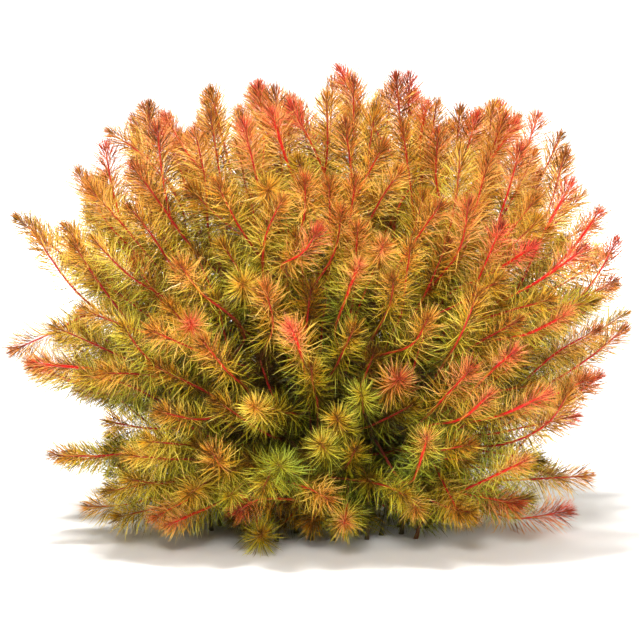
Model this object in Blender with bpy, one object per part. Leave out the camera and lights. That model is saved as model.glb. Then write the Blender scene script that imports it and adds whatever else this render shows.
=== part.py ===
"""Cambodia rotala: a dense upright bush of red stems whose shoots are brushes of needle leaves.

Every stem that rises from the ground is one solid, with the side shoots that grow out of it.
A shoot is a thin bare stem that swells into the brush shape its whorls of leaves fill, and the
foot of every stem is cut off flat at the ground. Lengths are in metres and +Z is up. The origin
is the middle of the central stem's cut foot.
"""

import math

import bmesh
import bpy
import numpy as np
from mathutils import Vector
from mathutils.kdtree import KDTree

# Form of the whole bush
HALF_WIDTH = 0.150
HALF_DEPTH = 0.128
WAIST_HEIGHT = 0.100
RISE_ABOVE_WAIST = 0.120
DROP_BELOW_WAIST = 0.125
DOME_SQUARENESS = 2.4
ROOTED_RADIUS = 0.070
FAN_CENTRE = Vector((0.0, 0.0, 0.035))

# Sizes of one shoot
LEAFY_LENGTH = 0.066
STEM_RADIUS = 0.0009
FOOT_RADIUS = 0.0013
CENTRAL_FOOT_RADIUS = 0.0022
BRUSH_RADIUS = 0.0100
BRUSH_SHAPE = {"tail": 0.16, "belly": 1.0, "tip": 0.38}
BRUSH_SIDES = 5
LEAFY_SHARES = (0.0, 0.6, 1.0)

# How the shoots are spread
STEM_COUNT = 48
MOST_SIDE_SHOOTS = 5
TOP_SPACING = 0.0215
TOP_FROM_HEIGHT = 0.190
SIDE_SPACING = 0.0278
LOWEST_TIP = 0.012
HIDDEN_DEPTHS = (0.93, 1.0)
HIDDEN_LENGTHS = (0.85, 1.1)
HEADING_WOBBLE = 0.13
MOST_SAG = 0.005
BEND_WOBBLE = 0.0015
TINT_SPREAD = 0.07
ACCENT_SHARE = 0.13
PLACES_TRIED = 6000
EVEN_STEPS = (0.7548776662, 0.5698402910)
SEED = 22

# How a stem rises and where its side shoots leave it
ROOT_INSIDE_TAIL = 0.85
RISE_ACROSS = 0.3
RISE_UP = 0.5
LEAST_RISE = 0.006
FEET_ON_STEM = (0.05, 0.95)
BARE_SHARE = 0.15
LATEST_START = 0.5
LENGTH_BELOW_GROUND = 0.25

# How the shoots are kept clear of each other and of the ground
GROUND_CLEARANCE = 0.0045
SURFACE_GAP = 0.0003
JOINED_LENGTH = 0.012
ROOM_FOR_STEM = 0.0022
SPREAD_STEP = 0.10
LONGEST_STEP = 0.0012
UPWARD_NUDGE = (0.0, 0.0, 1e-6)
BRUSH_PASS = {"count": 16, "reach": 2 * BRUSH_RADIUS, "rounds": 45, "sideways": 0.3}
STEM_PASS = {"count": 40, "reach": 2 * ROOM_FOR_STEM, "rounds": 60, "sideways": 1.0}
SHARING_SAMPLES = 64
SHARING_ROUNDS = 300

# How the meshes are joined and shaded
MERGE_DISTANCE = 1e-6
JOIN_DETAILS = (0.0003, 0.00015, 0.00005)
SHARP_ANGLE = math.radians(50)

# How the photograph shows the bush: 640 pixels square, seen from the front and a little above
PIXEL_SIZE = 0.00048
VIEW_DISTANCE = 1.30
VIEW_ELEVATION = math.radians(7.0)
PHOTO_CENTRE = (320.0, 320.0)
CENTRAL_FOOT_ROW = 522.0
SEEN_DEPTHS = (-0.002, 0.010)
LEAN_LIMITS = (-0.2, 0.85)
END_ON_LENGTH = 0.006
END_ON_LEAN = 0.97
LEAST_ACROSS = 0.6
RAY_STEPS = 400

# Leaf colours by how red they are
GREEN, YELLOW, GOLD, ORANGE, RUST, RED, PINK = 0.05, 0.25, 0.42, 0.58, 0.72, 0.88, 1.0

# Shoots read off the photograph in pixels: colour, tip, any bend, and where the leaves end
SEEN_SHOOTS = (
    (GOLD, (14, 216), (49, 244), (87, 276)), (GOLD, (72, 241), (93, 274), (118, 312)),
    (GOLD, (91, 237), (112, 256), (136, 279)), (ORANGE, (77, 169), (112, 222)),
    (ORANGE, (107, 130), (138, 168)), (RUST, (105, 144), (108, 172), (119, 198)),
    (ORANGE, (149, 101), (147, 140)), (RUST, (163, 113), (180, 138), (203, 161)),
    (RUST, (157, 126), (166, 193), (180, 262)), (GOLD, (128, 205), (147, 241)),
    (ORANGE, (194, 127), (200, 170)), (ORANGE, (210, 87), (220, 125)),
    (ORANGE, (216, 181), (234, 210), (247, 241)), (RUST, (258, 82), (258, 118)),
    (RED, (270, 108), (279, 138), (291, 169)), (PINK, (338, 66), (357, 95), (373, 132)),
    (ORANGE, (345, 120), (350, 160)), (ORANGE, (396, 73), (400, 110)),
    (GOLD, (402, 168), (382, 195), (377, 226)), (RED, (427, 101), (429, 140)),
    (GOLD, (268, 188), (270, 195)), (ORANGE, (284, 196), (278, 232), (270, 270)),
    (ORANGE, (305, 176), (298, 212)), (ORANGE, (342, 208), (327, 256), (312, 307)),
    (ORANGE, (438, 130), (447, 198)), (ORANGE, (461, 105), (448, 140)), (PINK, (500, 101), (499, 150)),
    (RUST, (539, 113), (538, 133), (529, 150)), (ORANGE, (562, 132), (542, 165), (513, 200)),
    (GOLD, (461, 146), (455, 180)), (RUST, (521, 144), (516, 172), (504, 196)),
    (RED, (573, 181), (566, 205), (550, 233)), (RED, (601, 209), (576, 238)),
    (RUST, (618, 237), (608, 264), (575, 294)), (PINK, (536, 245), (517, 258)),
    (ORANGE, (442, 203), (420, 237)), (ORANGE, (469, 200), (458, 242), (435, 276)),
    (RED, (587, 247), (568, 262), (546, 276)), (ORANGE, (10, 352), (30, 341), (60, 333)),
    (GOLD, (52, 326), (84, 340), (122, 363)), (PINK, (28, 363), (60, 366), (91, 370)),
    (GOLD, (79, 375), (126, 393), (174, 416)), (GOLD, (81, 309), (120, 325)),
    (GOLD, (121, 323), (132, 346), (157, 357)), (PINK, (190, 320), (194, 328)),
    (RUST, (201, 339), (219, 364)), (ORANGE, (178, 262), (187, 280), (203, 291)),
    (RUST, (321, 225), (297, 246)), (ORANGE, (384, 243), (384, 252)),
    (RED, (361, 260), (352, 298), (339, 342)), (RED, (289, 323), (300, 360), (307, 403)),
    (GOLD, (242, 283), (244, 291)), (GOLD, (264, 284), (267, 330), (262, 382)),
    (GOLD, (394, 276), (394, 306), (378, 333)), (ORANGE, (430, 315), (405, 339), (378, 359)),
    (RUST, (401, 377), (398, 381)), (YELLOW, (252, 405), (256, 410)), (YELLOW, (320, 442), (322, 446)),
    (ORANGE, (619, 279), (594, 293), (560, 302)), (ORANGE, (628, 326), (610, 344), (588, 356)),
    (ORANGE, (601, 328), (562, 355), (511, 391)), (RED, (573, 311), (540, 330), (501, 340)),
    (RUST, (591, 378), (560, 395)), (RED, (517, 349), (503, 367), (487, 382)),
    (GOLD, (503, 279), (485, 292)), (ORANGE, (479, 290), (468, 320), (455, 346)),
    (PINK, (493, 391), (474, 411), (449, 423)), (RED, (550, 392), (518, 412), (481, 428)),
    (ORANGE, (572, 387), (556, 411), (516, 423)), (RED, (428, 434), (427, 447), (413, 471)),
    (RED, (529, 459), (490, 483), (445, 512)), (ORANGE, (591, 476), (550, 481), (507, 485)),
    (RUST, (572, 510), (533, 520), (507, 500)), (RED, (344, 525), (344, 515)),
    (ORANGE, (331, 501), (310, 497)), (ORANGE, (48, 455), (75, 458), (104, 453)),
    (GOLD, (85, 507), (112, 508), (150, 498)), (YELLOW, (106, 421), (145, 425)),
    (GOLD, (123, 455), (146, 463), (176, 463)), (YELLOW, (127, 479), (156, 480), (186, 475)),
    (RED, (164, 527), (184, 518), (207, 515)), (YELLOW, (261, 493), (262, 488)),
    (YELLOW, (262, 533), (262, 525)), (RUST, (235, 512), (276, 512), (314, 501)),
)

# The bush's outline read off the photograph in pixels, from its left foot up and round to the right
SEEN_OUTLINE = (
    (164, 532), (85, 512), (46, 462), (46, 448), (108, 436), (100, 418), (70, 385), (24, 368), (8, 352),
    (12, 340), (60, 322), (84, 306), (100, 298), (92, 284), (60, 262), (10, 222), (12, 208), (60, 222),
    (74, 205), (68, 172), (92, 175), (98, 140), (118, 132), (140, 105), (155, 98), (170, 108), (196, 118),
    (208, 84), (222, 92), (236, 112), (254, 80), (266, 86), (288, 92), (306, 104), (322, 112), (334, 66),
    (350, 70), (366, 100), (388, 80), (396, 70), (412, 72), (424, 96), (444, 108), (462, 100), (480, 108),
    (500, 98), (520, 112), (541, 108), (566, 130), (572, 150), (582, 178), (604, 206), (622, 234),
    (600, 268), (622, 276), (632, 322), (606, 346), (596, 380), (574, 398), (548, 404), (500, 424),
    (520, 450), (594, 472), (590, 482), (560, 490), (576, 508), (560, 522), (500, 528), (455, 534),
    (417, 540), (344, 545), (262, 545),
)


class Shoot:
    """One leafy shoot: its centre line runs from its foot to its tip."""

    def __init__(self, tint, tip, heading, length, bend, seen):
        self.tint = tint
        self.seen = seen
        self.stem = None
        self.leads = False
        self.tip = tip
        self.tail = tip - heading * length
        middle = (self.tip + self.tail) / 2 + bend
        self.pull = 2 * middle - (self.tip + self.tail) / 2
        self.line = []

    def leafy_point(self, share):
        """A point of the leafy stretch, from 0 where the leaves begin to 1 at the tip."""
        back = 1 - share
        arc = self.tail * back * back + self.pull * 2 * share * back + self.tip * share * share
        return Vector((arc.x, arc.y, max(arc.z, GROUND_CLEARANCE)))


def dome_level(x, y, z):
    """Under 1 inside the bush's rounded form and over 1 outside it."""
    above = z - WAIST_HEIGHT
    half_height = np.where(above > 0, RISE_ABOVE_WAIST, DROP_BELOW_WAIST)
    power = DOME_SQUARENESS
    return abs(x / HALF_WIDTH) ** power + abs(y / HALF_DEPTH) ** power + abs(above / half_height) ** power


def view_axes():
    """The photograph's directions to the right, up and into the picture, and the viewer's place."""
    right = Vector((1, 0, 0))
    up = Vector((0, math.sin(VIEW_ELEVATION), math.cos(VIEW_ELEVATION)))
    ahead = Vector((0, math.cos(VIEW_ELEVATION), -math.sin(VIEW_ELEVATION)))
    rows_up = CENTRAL_FOOT_ROW - PHOTO_CENTRE[1]
    aim = Vector((0, 0, rows_up * PIXEL_SIZE / math.cos(VIEW_ELEVATION)))
    return right, up, ahead, aim - ahead * VIEW_DISTANCE


def place_seen_at(pixel, depth_shift):
    """The place on the bush's surface that lies under a pixel of the photograph."""
    right, up, ahead, eye = view_axes()
    slope = PIXEL_SIZE / VIEW_DISTANCE
    across = (pixel[0] - PHOTO_CENTRE[0]) * slope
    rise = (PHOTO_CENTRE[1] - pixel[1]) * slope
    ray = ahead + right * across + up * rise
    reach = np.linspace(VIEW_DISTANCE - HALF_DEPTH, VIEW_DISTANCE + HALF_DEPTH, RAY_STEPS)
    x, y, z = (eye[axis] + ray[axis] * reach for axis in range(3))
    level = dome_level(x, y, z)
    inside = np.nonzero(level < 1)[0]
    step = inside[0] if len(inside) else int(level.argmin())
    return eye + ray * (float(reach[step]) + depth_shift)


def inside_outline(place):
    """Whether the photograph would show this place inside the bush's outline."""
    right, up, ahead, eye = view_axes()
    away = place - eye
    zoom = VIEW_DISTANCE / (PIXEL_SIZE * away.dot(ahead))
    column = PHOTO_CENTRE[0] + away.dot(right) * zoom
    row = PHOTO_CENTRE[1] - away.dot(up) * zoom
    inside = False
    for (x, y), (next_x, next_y) in zip(SEEN_OUTLINE, SEEN_OUTLINE[1:] + SEEN_OUTLINE[:1]):
        if (y > row) != (next_y > row) and column < x + (next_x - x) * (row - y) / (next_y - y):
            inside = not inside
    return inside


def natural_heading(tip):
    """Shoots fan out from the middle of the bush, low ones flat and high ones upright."""
    return (tip - FAN_CENTRE).normalized()


def seen_shoot(record, rng):
    """A shoot that the photograph shows, leaning towards the viewer as its place suggests."""
    right, up, ahead, _ = view_axes()
    tint, tip_pixel, tail_pixel = record[0], record[1], record[-1]
    tip = place_seen_at(tip_pixel, rng.uniform(*SEEN_DEPTHS))
    flat = right * (tip_pixel[0] - tail_pixel[0]) - up * (tip_pixel[1] - tail_pixel[1])
    flat_length = flat.length * PIXEL_SIZE
    towards_viewer = min(max(-natural_heading(tip).dot(ahead), LEAN_LIMITS[0]), LEAN_LIMITS[1])
    if flat_length < END_ON_LENGTH:
        towards_viewer = END_ON_LEAN
    across = math.sqrt(1 - towards_viewer**2)
    heading = flat.normalized() * across - ahead * towards_viewer
    bend = Vector((0, 0, 0))
    if len(record) == 4:
        bend_pixel = record[2]
        bend += right * (bend_pixel[0] - (tip_pixel[0] + tail_pixel[0]) / 2)
        bend -= up * (bend_pixel[1] - (tip_pixel[1] + tail_pixel[1]) / 2)
        bend *= PIXEL_SIZE
    length = max(LEAFY_LENGTH, flat_length / max(across, LEAST_ACROSS))
    return Shoot(tint, tip, heading, length, bend, True)


def hidden_tint(tip, rng):
    """Shoots are green and yellow low down, and orange to red towards the top."""
    height = min(max(tip.z / (WAIST_HEIGHT + RISE_ABOVE_WAIST), 0), 1)
    tint = YELLOW + (ORANGE - YELLOW) * height**0.6 + rng.normal(0, TINT_SPREAD)
    if rng.random() < ACCENT_SHARE:
        tint = rng.uniform(RED, PINK)
    return min(max(tint, GREEN), PINK)


def hidden_shoots(taken, rng):
    """Shoots that fill the rest of the dome, closest on top, where the ones in the list leave room."""
    found = []
    for count in range(PLACES_TRIED):
        lift = 1 - 2 * ((count * EVEN_STEPS[0]) % 1)
        turn = 2 * math.pi * ((count * EVEN_STEPS[1]) % 1)
        level = math.sqrt(1 - lift * lift)
        ray = Vector((level * math.cos(turn), level * math.sin(turn), lift))
        level_out = float(dome_level(ray.x, ray.y, ray.z + WAIST_HEIGHT))
        depth = rng.uniform(*HIDDEN_DEPTHS)
        tip = Vector((0, 0, WAIST_HEIGHT)) + ray * depth * level_out ** (-1 / DOME_SQUARENESS)
        if tip.z < LOWEST_TIP or not inside_outline(tip):
            continue
        spacing = TOP_SPACING if tip.z > TOP_FROM_HEIGHT else SIDE_SPACING
        if any((tip - other.tip).length < spacing for other in taken + found):
            continue
        wobble = Vector(rng.normal(0, HEADING_WOBBLE, 3))
        heading = (natural_heading(tip) + wobble).normalized()
        bend = Vector((0, 0, -rng.uniform(0.0, MOST_SAG))) + Vector(rng.normal(0, BEND_WOBBLE, 3))
        length = LEAFY_LENGTH * rng.uniform(*HIDDEN_LENGTHS)
        found.append(Shoot(hidden_tint(tip, rng), tip, heading, length, bend, False))
    return found


def choose_leaders(shoots):
    """The shoots that end a rooted stem, spread evenly over the dome, and the stem each other joins."""
    tips = np.array([shoot.tip for shoot in shoots])
    chosen = [int(tips[:, 2].argmax())]
    nearest = np.linalg.norm(tips - tips[chosen[0]], axis=1)
    while len(chosen) < STEM_COUNT:
        chosen.append(int(nearest.argmax()))
        nearest = np.minimum(nearest, np.linalg.norm(tips - tips[chosen[-1]], axis=1))
    for stem, index in enumerate(chosen):
        shoots[index].stem = stem
        shoots[index].leads = True
    distance = np.linalg.norm(tips[:, None] - tips[chosen][None], axis=2)
    room = [MOST_SIDE_SHOOTS] * STEM_COUNT
    for index in np.argsort(distance.min(1)):
        if shoots[index].leads:
            continue
        stem = next(s for s in np.argsort(distance[index]) if room[s] > 0)
        shoots[index].stem = int(stem)
        room[stem] -= 1
    return [shoots[index] for index in chosen]


def lay_leader(shoot):
    """A rooted stem rises from its place in the ground and leans out to its leafy end."""
    tail = shoot.leafy_point(0)
    reach = math.hypot(tail.x, tail.y)
    spread = min(ROOTED_RADIUS * math.sqrt(1 - natural_heading(shoot.tip).z), ROOT_INSIDE_TAIL * reach)
    root = Vector((tail.x * spread / reach, tail.y * spread / reach, 0.0))
    rise = root.lerp(tail, RISE_ACROSS)
    rise.z = max(RISE_UP * tail.z, LEAST_RISE)
    shoot.line = [root, rise] + [shoot.leafy_point(share) for share in LEAFY_SHARES]


def lay_side_shoot(shoot, leader, share):
    """A side shoot leaves its stem below the leaves and turns out to its own leafy end."""
    foot = leader.line[1].lerp(leader.line[2], share)
    leafy_run = shoot.tip - shoot.tail
    passed = (foot - shoot.tail).dot(leafy_run) / leafy_run.length_squared
    start = min(max(passed + BARE_SHARE, 0.0), LATEST_START)
    shoot.line = [foot] + [shoot.leafy_point(start + (1 - start) * part) for part in LEAFY_SHARES]
    shoot.foot_share = share


def lay_family(leader, side_shoots):
    """Lays a rooted stem and its side shoots, which leave it one above the other."""
    lay_leader(leader)
    run = leader.line[2] - leader.line[1]
    side_shoots.sort(key=lambda shoot: (shoot.tail - leader.line[1]).dot(run))
    low, high = FEET_ON_STEM
    for rank, shoot in enumerate(side_shoots):
        lay_side_shoot(shoot, leader, low + (high - low) * (rank + 0.5) / len(side_shoots))


def wanted_radii(shoot):
    """The radius at each point of the centre line where nothing else is near."""
    brush = [BRUSH_RADIUS * BRUSH_SHAPE[part] for part in ("tail", "belly", "tip")]
    if not shoot.leads:
        return [STEM_RADIUS] + brush
    foot = CENTRAL_FOOT_RADIUS if shoot.line[0].length == 0 else FOOT_RADIUS
    return [foot, STEM_RADIUS] + brush


class LineSamples:
    """Evenly spaced places on every centre line, each between two of its line's points."""

    def __init__(self, shoots, count):
        self.shoots = shoots
        owners, lows, shares, leafy, near_foot = [], [], [], [], []
        for index, shoot in enumerate(shoots):
            spots = np.linspace(0, len(shoot.line) - 1, count)
            low = np.minimum(spots.astype(int), len(shoot.line) - 2)
            owners.append(np.full(count, index))
            lows.append(low)
            shares.append(spots - low)
            leafy.append(spots > len(shoot.line) - len(LEAFY_SHARES))
        self.owner = np.concatenate(owners)
        self.share = np.concatenate(shares)
        self.leafy = np.concatenate(leafy)
        self.stem = np.array([shoot.stem for shoot in shoots])[self.owner]
        self.start = np.cumsum([0] + [len(shoot.line) for shoot in shoots])[:-1]
        self.low = self.start[self.owner] + np.concatenate(lows)

    def between(self, values):
        """Values given at the line points, worked out at the samples."""
        share = self.share.reshape((-1,) + (1,) * (values.ndim - 1))
        return values[self.low] * (1 - share) + values[self.low + 1] * share

    def places(self):
        points = np.array([point for shoot in self.shoots for point in shoot.line])
        places = self.between(points)
        feet = points[self.start][self.owner]
        leads = np.array([shoot.leads for shoot in self.shoots])[self.owner]
        near_foot = (np.linalg.norm(places - feet, axis=1) < JOINED_LENGTH) & ~leads
        return places, near_foot

    def radii(self):
        return self.between(np.array([radius for shoot in self.shoots for radius in shoot.radii]))

    def close_pairs(self, reach):
        """Pairs of samples of different shoots nearer than reach, apart from where one grows out."""
        places, near_foot = self.places()
        tree = KDTree(len(places))
        for index, place in enumerate(places):
            tree.insert(place, index)
        tree.balance()
        found = [[other for _, other, _ in tree.find_range(place, reach)] for place in places]
        first = np.repeat(np.arange(len(places)), [len(others) for others in found])
        second = np.concatenate(found).astype(int)
        kin = near_foot[first] | near_foot[second] | (self.owner[first] == self.owner[second])
        apart = ~(kin & (self.stem[first] == self.stem[second]))
        first, second = first[apart], second[apart]
        away = places[first] - places[second]
        return places, first, second, np.linalg.norm(away, axis=1), away

    def directions(self):
        """The direction of the centre line at each sample."""
        points = np.array([point for shoot in self.shoots for point in shoot.line])
        run = points[self.low + 1] - points[self.low]
        return run / np.linalg.norm(run, axis=1)[:, None]


def spread_apart(shoots, count, reach, rounds, sideways):
    """Moves the centre lines of different shoots out of each other's way, little by little."""
    ahead = np.array(view_axes()[2])
    leaders = {shoot.stem: shoot for shoot in shoots if shoot.leads}
    samples = LineSamples(shoots, count)
    radii = np.where(samples.leafy, np.maximum(samples.radii(), ROOM_FOR_STEM), ROOM_FOR_STEM)
    radii = np.minimum(radii, reach / 2)
    ends = set(samples.start) | {start - 1 for start in samples.start[1:]}
    seen = np.concatenate([np.full(len(shoot.line), shoot.seen) for shoot in shoots])
    fixed = np.isin(np.arange(len(seen)), list(ends))
    fixed[-1] = True
    for _ in range(rounds):
        places, first, second, distance, away = samples.close_pairs(reach)
        along = samples.directions()[first]
        away = away - along * (away * along).sum(1)[:, None] + UPWARD_NUDGE
        away /= np.linalg.norm(away, axis=1)[:, None]
        lack = np.maximum(radii[first] + radii[second] - distance, 0)
        if lack.max(initial=0) < SURFACE_GAP:
            break
        push = np.zeros_like(places)
        np.add.at(push, first, away * (lack * SPREAD_STEP)[:, None])
        moves = np.zeros((len(seen), 3))
        np.add.at(moves, samples.low, push * (1 - samples.share)[:, None])
        np.add.at(moves, samples.low + 1, push * samples.share[:, None])
        depth = (moves @ ahead)[:, None] * ahead
        moves = np.where(seen[:, None], sideways * moves + (1 - sideways) * depth, moves)
        length = np.linalg.norm(moves, axis=1)
        moves *= (np.minimum(length, LONGEST_STEP) / np.maximum(length, 1e-9))[:, None]
        moves[fixed] = 0
        for shoot, start in zip(shoots, samples.start):
            for point, move in zip(shoot.line[1:], moves[start + 1:]):
                point += Vector(move)
                point.z = max(point.z, GROUND_CLEARANCE)
        for shoot in shoots:
            if not shoot.leads:
                run = leaders[shoot.stem].line
                shoot.line[0] = run[1].lerp(run[2], shoot.foot_share)


def share_space(shoots):
    """Narrows each brush until no two shoots touch. Brushes share a gap, and bare stems keep theirs."""
    samples = LineSamples(shoots, SHARING_SAMPLES)
    places, first, second, distance, _ = samples.close_pairs(2 * BRUSH_RADIUS)
    bare = samples.radii()[second]
    room = np.where(samples.leafy[second], distance / 2, distance - bare) - SURFACE_GAP
    free = np.full(len(places), BRUSH_RADIUS)
    np.minimum.at(free, first, room)
    free = np.minimum(free, places[:, 2] - SURFACE_GAP)
    free = np.where(samples.leafy, np.maximum(free, STEM_RADIUS), BRUSH_RADIUS)
    weight = (1 - samples.share) ** 2 + samples.share**2
    radii = np.array([radius for shoot in shoots for radius in shoot.radii])
    for _ in range(SHARING_ROUNDS):
        excess = np.maximum(samples.between(radii) - free, 0)
        if excess.max() < MERGE_DISTANCE:
            break
        cut = np.zeros(len(radii))
        np.maximum.at(cut, samples.low, excess * (1 - samples.share) / weight)
        np.maximum.at(cut, samples.low + 1, excess * samples.share / weight)
        radii = np.where(cut > 0, np.maximum(radii - cut, STEM_RADIUS), radii)
    for shoot, start in zip(shoots, samples.start):
        shoot.radii = [float(radius) for radius in radii[start:start + len(shoot.line)]]
    other_stem = samples.stem[first] != samples.stem[second]
    sampled = samples.between(radii)
    gaps = distance - sampled[first] - sampled[second]
    return float(distance[other_stem].min()), float(gaps[other_stem].min())


def grow_bush():
    """All shoots of the bush, with their centre lines and radii."""
    rng = np.random.default_rng(SEED)
    shoots = [seen_shoot(record, rng) for record in SEEN_SHOOTS]
    shoots += hidden_shoots(shoots, rng)
    leaders = choose_leaders(shoots)
    for stem, leader in enumerate(leaders):
        lay_family(leader, [shoot for shoot in shoots if shoot.stem == stem and not shoot.leads])
    central = min(leaders, key=lambda leader: leader.line[0].length)
    central.line[0] = Vector((0, 0, 0))
    for shoot in shoots:
        shoot.radii = wanted_radii(shoot)
    spread_apart(shoots, **BRUSH_PASS)
    spread_apart(shoots, **STEM_PASS)
    nearest, gap = share_space(shoots)
    print(f"{len(shoots)} shoots, nearest lines {nearest * 1000:.2f} mm, least gap {gap * 1000:.3f} mm")
    return shoots, leaders


def ring_outline():
    """A flat polygon of radius 1 that every shoot's curve is swept with."""
    outline = bpy.data.curves.new("ring outline", "CURVE")
    outline.dimensions = "2D"
    spline = outline.splines.new("POLY")
    spline.points.add(BRUSH_SIDES - 1)
    for corner, point in enumerate(spline.points):
        turn = 2 * math.pi * corner / BRUSH_SIDES
        point.co = (math.cos(turn), math.sin(turn), 0, 1)
    spline.use_cyclic_u = True
    ring = bpy.data.objects.new("ring outline", outline)
    guides.objects.link(ring)
    ring.hide_render = True
    ring.display_type = "WIRE"
    return ring


def swept_mesh(name, line, radii):
    """The closed mesh of one shoot: the outline swept along its centre line."""
    curve = bpy.data.curves.new(name, "CURVE")
    curve.dimensions = "3D"
    curve.bevel_mode = "OBJECT"
    curve.bevel_object = ring
    curve.use_fill_caps = True
    spline = curve.splines.new("POLY")
    spline.points.add(len(line) - 1)
    for point, place, radius in zip(spline.points, line, radii):
        point.co = (*place, 1)
        point.radius = radius
    holder = bpy.data.objects.new(name, curve)
    bush.objects.link(holder)
    graph = bpy.context.evaluated_depsgraph_get()
    mesh = bpy.data.meshes.new_from_object(holder.evaluated_get(graph))
    bpy.data.objects.remove(holder)
    bpy.data.curves.remove(curve)
    work = bmesh.new()
    work.from_mesh(mesh)
    bmesh.ops.remove_doubles(work, verts=work.verts, dist=MERGE_DISTANCE)
    bmesh.ops.recalc_face_normals(work, faces=work.faces)
    work.to_mesh(mesh)
    work.free()
    return mesh


def cut_flat(mesh):
    """Cuts a rooted stem off flat at the ground."""
    work = bmesh.new()
    work.from_mesh(mesh)
    everything = work.verts[:] + work.edges[:] + work.faces[:]
    cut = bmesh.ops.bisect_plane(
        work, geom=everything, plane_co=(0, 0, 0), plane_no=(0, 0, 1), clear_inner=True
    )
    rim = [item for item in cut["geom_cut"] if isinstance(item, bmesh.types.BMEdge)]
    bmesh.ops.holes_fill(work, edges=rim)
    bmesh.ops.recalc_face_normals(work, faces=work.faces)
    work.to_mesh(mesh)
    work.free()


def drop_crumbs(mesh):
    """Removes the crumbs that a union can leave inside a joint, and keeps the largest body."""
    work = bmesh.new()
    work.from_mesh(mesh)
    bmesh.ops.triangulate(work, faces=work.faces)
    waiting = set(work.faces)
    bodies = []
    while waiting:
        body = set()
        edge_of_body = [waiting.pop()]
        while edge_of_body:
            face = edge_of_body.pop()
            body.add(face)
            clean = [edge for edge in face.edges if len(edge.link_faces) == 2]
            neighbours = {other for edge in clean for other in edge.link_faces} & waiting
            waiting -= neighbours
            edge_of_body.extend(neighbours)
        bodies.append(body)
    bodies.sort(key=len)
    crumbs = [face for body in bodies[:-1] for face in body]
    bmesh.ops.delete(work, geom=crumbs, context="FACES")
    work.to_mesh(mesh)
    work.free()


def merged_cleanly(mesh, detail):
    """Merges the slivers where two shoots meet, unless that would open the surface."""
    work = bmesh.new()
    work.from_mesh(mesh)
    bmesh.ops.remove_doubles(work, verts=work.verts, dist=detail)
    bmesh.ops.dissolve_degenerate(work, edges=work.edges, dist=MERGE_DISTANCE)
    closed = all(edge.is_manifold and edge.is_contiguous for edge in work.edges)
    closed = closed and all(corner.is_manifold for corner in work.verts)
    if closed:
        work.to_mesh(mesh)
    work.free()
    return closed


def join(body, mesh):
    """Grows the mesh of a side shoot together with the stem it leaves."""
    tool = bpy.data.objects.new("side shoot", mesh)
    guides.objects.link(tool)
    union = body.modifiers.new("Join", "BOOLEAN")
    union.operation = "UNION"
    union.solver = "EXACT"
    union.object = tool
    graph = bpy.context.evaluated_depsgraph_get()
    joined = bpy.data.meshes.new_from_object(body.evaluated_get(graph))
    body.modifiers.remove(union)
    drop_crumbs(joined)
    for detail in JOIN_DETAILS:
        if merged_cleanly(joined, detail):
            break
    body.data = joined
    bpy.data.objects.remove(tool)


def leaf_colour(tint):
    """The mean colour of a shoot's leaves, from green through gold to red."""
    stops = ((0.0, (0.10, 0.13, 0.02)), (0.3, (0.38, 0.27, 0.03)), (0.6, (0.50, 0.20, 0.03)),
             (1.0, (0.62, 0.06, 0.05)))
    places = [stop[0] for stop in stops]
    return [float(np.interp(tint, places, [stop[1][channel] for stop in stops])) for channel in range(3)]


def shoot_material(name, tint):
    """A matt leaf material for one stem."""
    material = bpy.data.materials.new(name)
    material.use_nodes = True
    shader = material.node_tree.nodes["Principled BSDF"]
    shader.inputs["Base Color"].default_value = (*leaf_colour(tint), 1)
    shader.inputs["Roughness"].default_value = 0.6
    shader.inputs["Metallic"].default_value = 0.0
    return material


def build_stem(number, leader, side_shoots):
    """One rooted stem with its side shoots, as a single solid."""
    name = f"stem_{number:02d}"
    below = leader.line[0] - (leader.line[1] - leader.line[0]) * LENGTH_BELOW_GROUND
    line = [below] + leader.line[1:]
    mesh = swept_mesh(name, line, leader.radii)
    cut_flat(mesh)
    body = bpy.data.objects.new(name, mesh)
    bush.objects.link(body)
    for shoot in side_shoots:
        join(body, swept_mesh(name + " side shoot", shoot.line, shoot.radii))
    body.data.name = name
    body.data.shade_smooth()
    body.data.set_sharp_from_angle(angle=SHARP_ANGLE)
    tints = [leader.tint] + [shoot.tint for shoot in side_shoots]
    body.data.materials.clear()
    body.data.materials.append(shoot_material(name + " leaves", sum(tints) / len(tints)))
    return body


for old in list(bpy.data.objects):
    bpy.data.objects.remove(old, do_unlink=True)

bush = bpy.data.collections.new("cambodia rotala")
guides = bpy.data.collections.new("guides")
bpy.context.scene.collection.children.link(bush)
bpy.context.scene.collection.children.link(guides)
ring = ring_outline()

all_shoots, stem_leaders = grow_bush()
for stem_number, stem_leader in enumerate(stem_leaders):
    family = [shoot for shoot in all_shoots if shoot.stem == stem_number and not shoot.leads]
    build_stem(stem_number + 1, stem_leader, family)
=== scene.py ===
# %% [markdown]
# # A cambodia rotala bush
#
# This water plant's fine red stems fan out from a rooted middle. Each ends in a foxtail: whorls of needle
# leaves that stand close at the tip, open out below it, and turn from brown or red to gold and green as
# they age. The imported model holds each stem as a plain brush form. This lesson puts real stems and leaves
# in its place: first camera and light, then where the shoots lie, one needle leaf, and its copies.

# %% Tools
import math

import bpy
import numpy as np
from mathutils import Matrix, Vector
from mathutils.kdtree import KDTree


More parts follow.
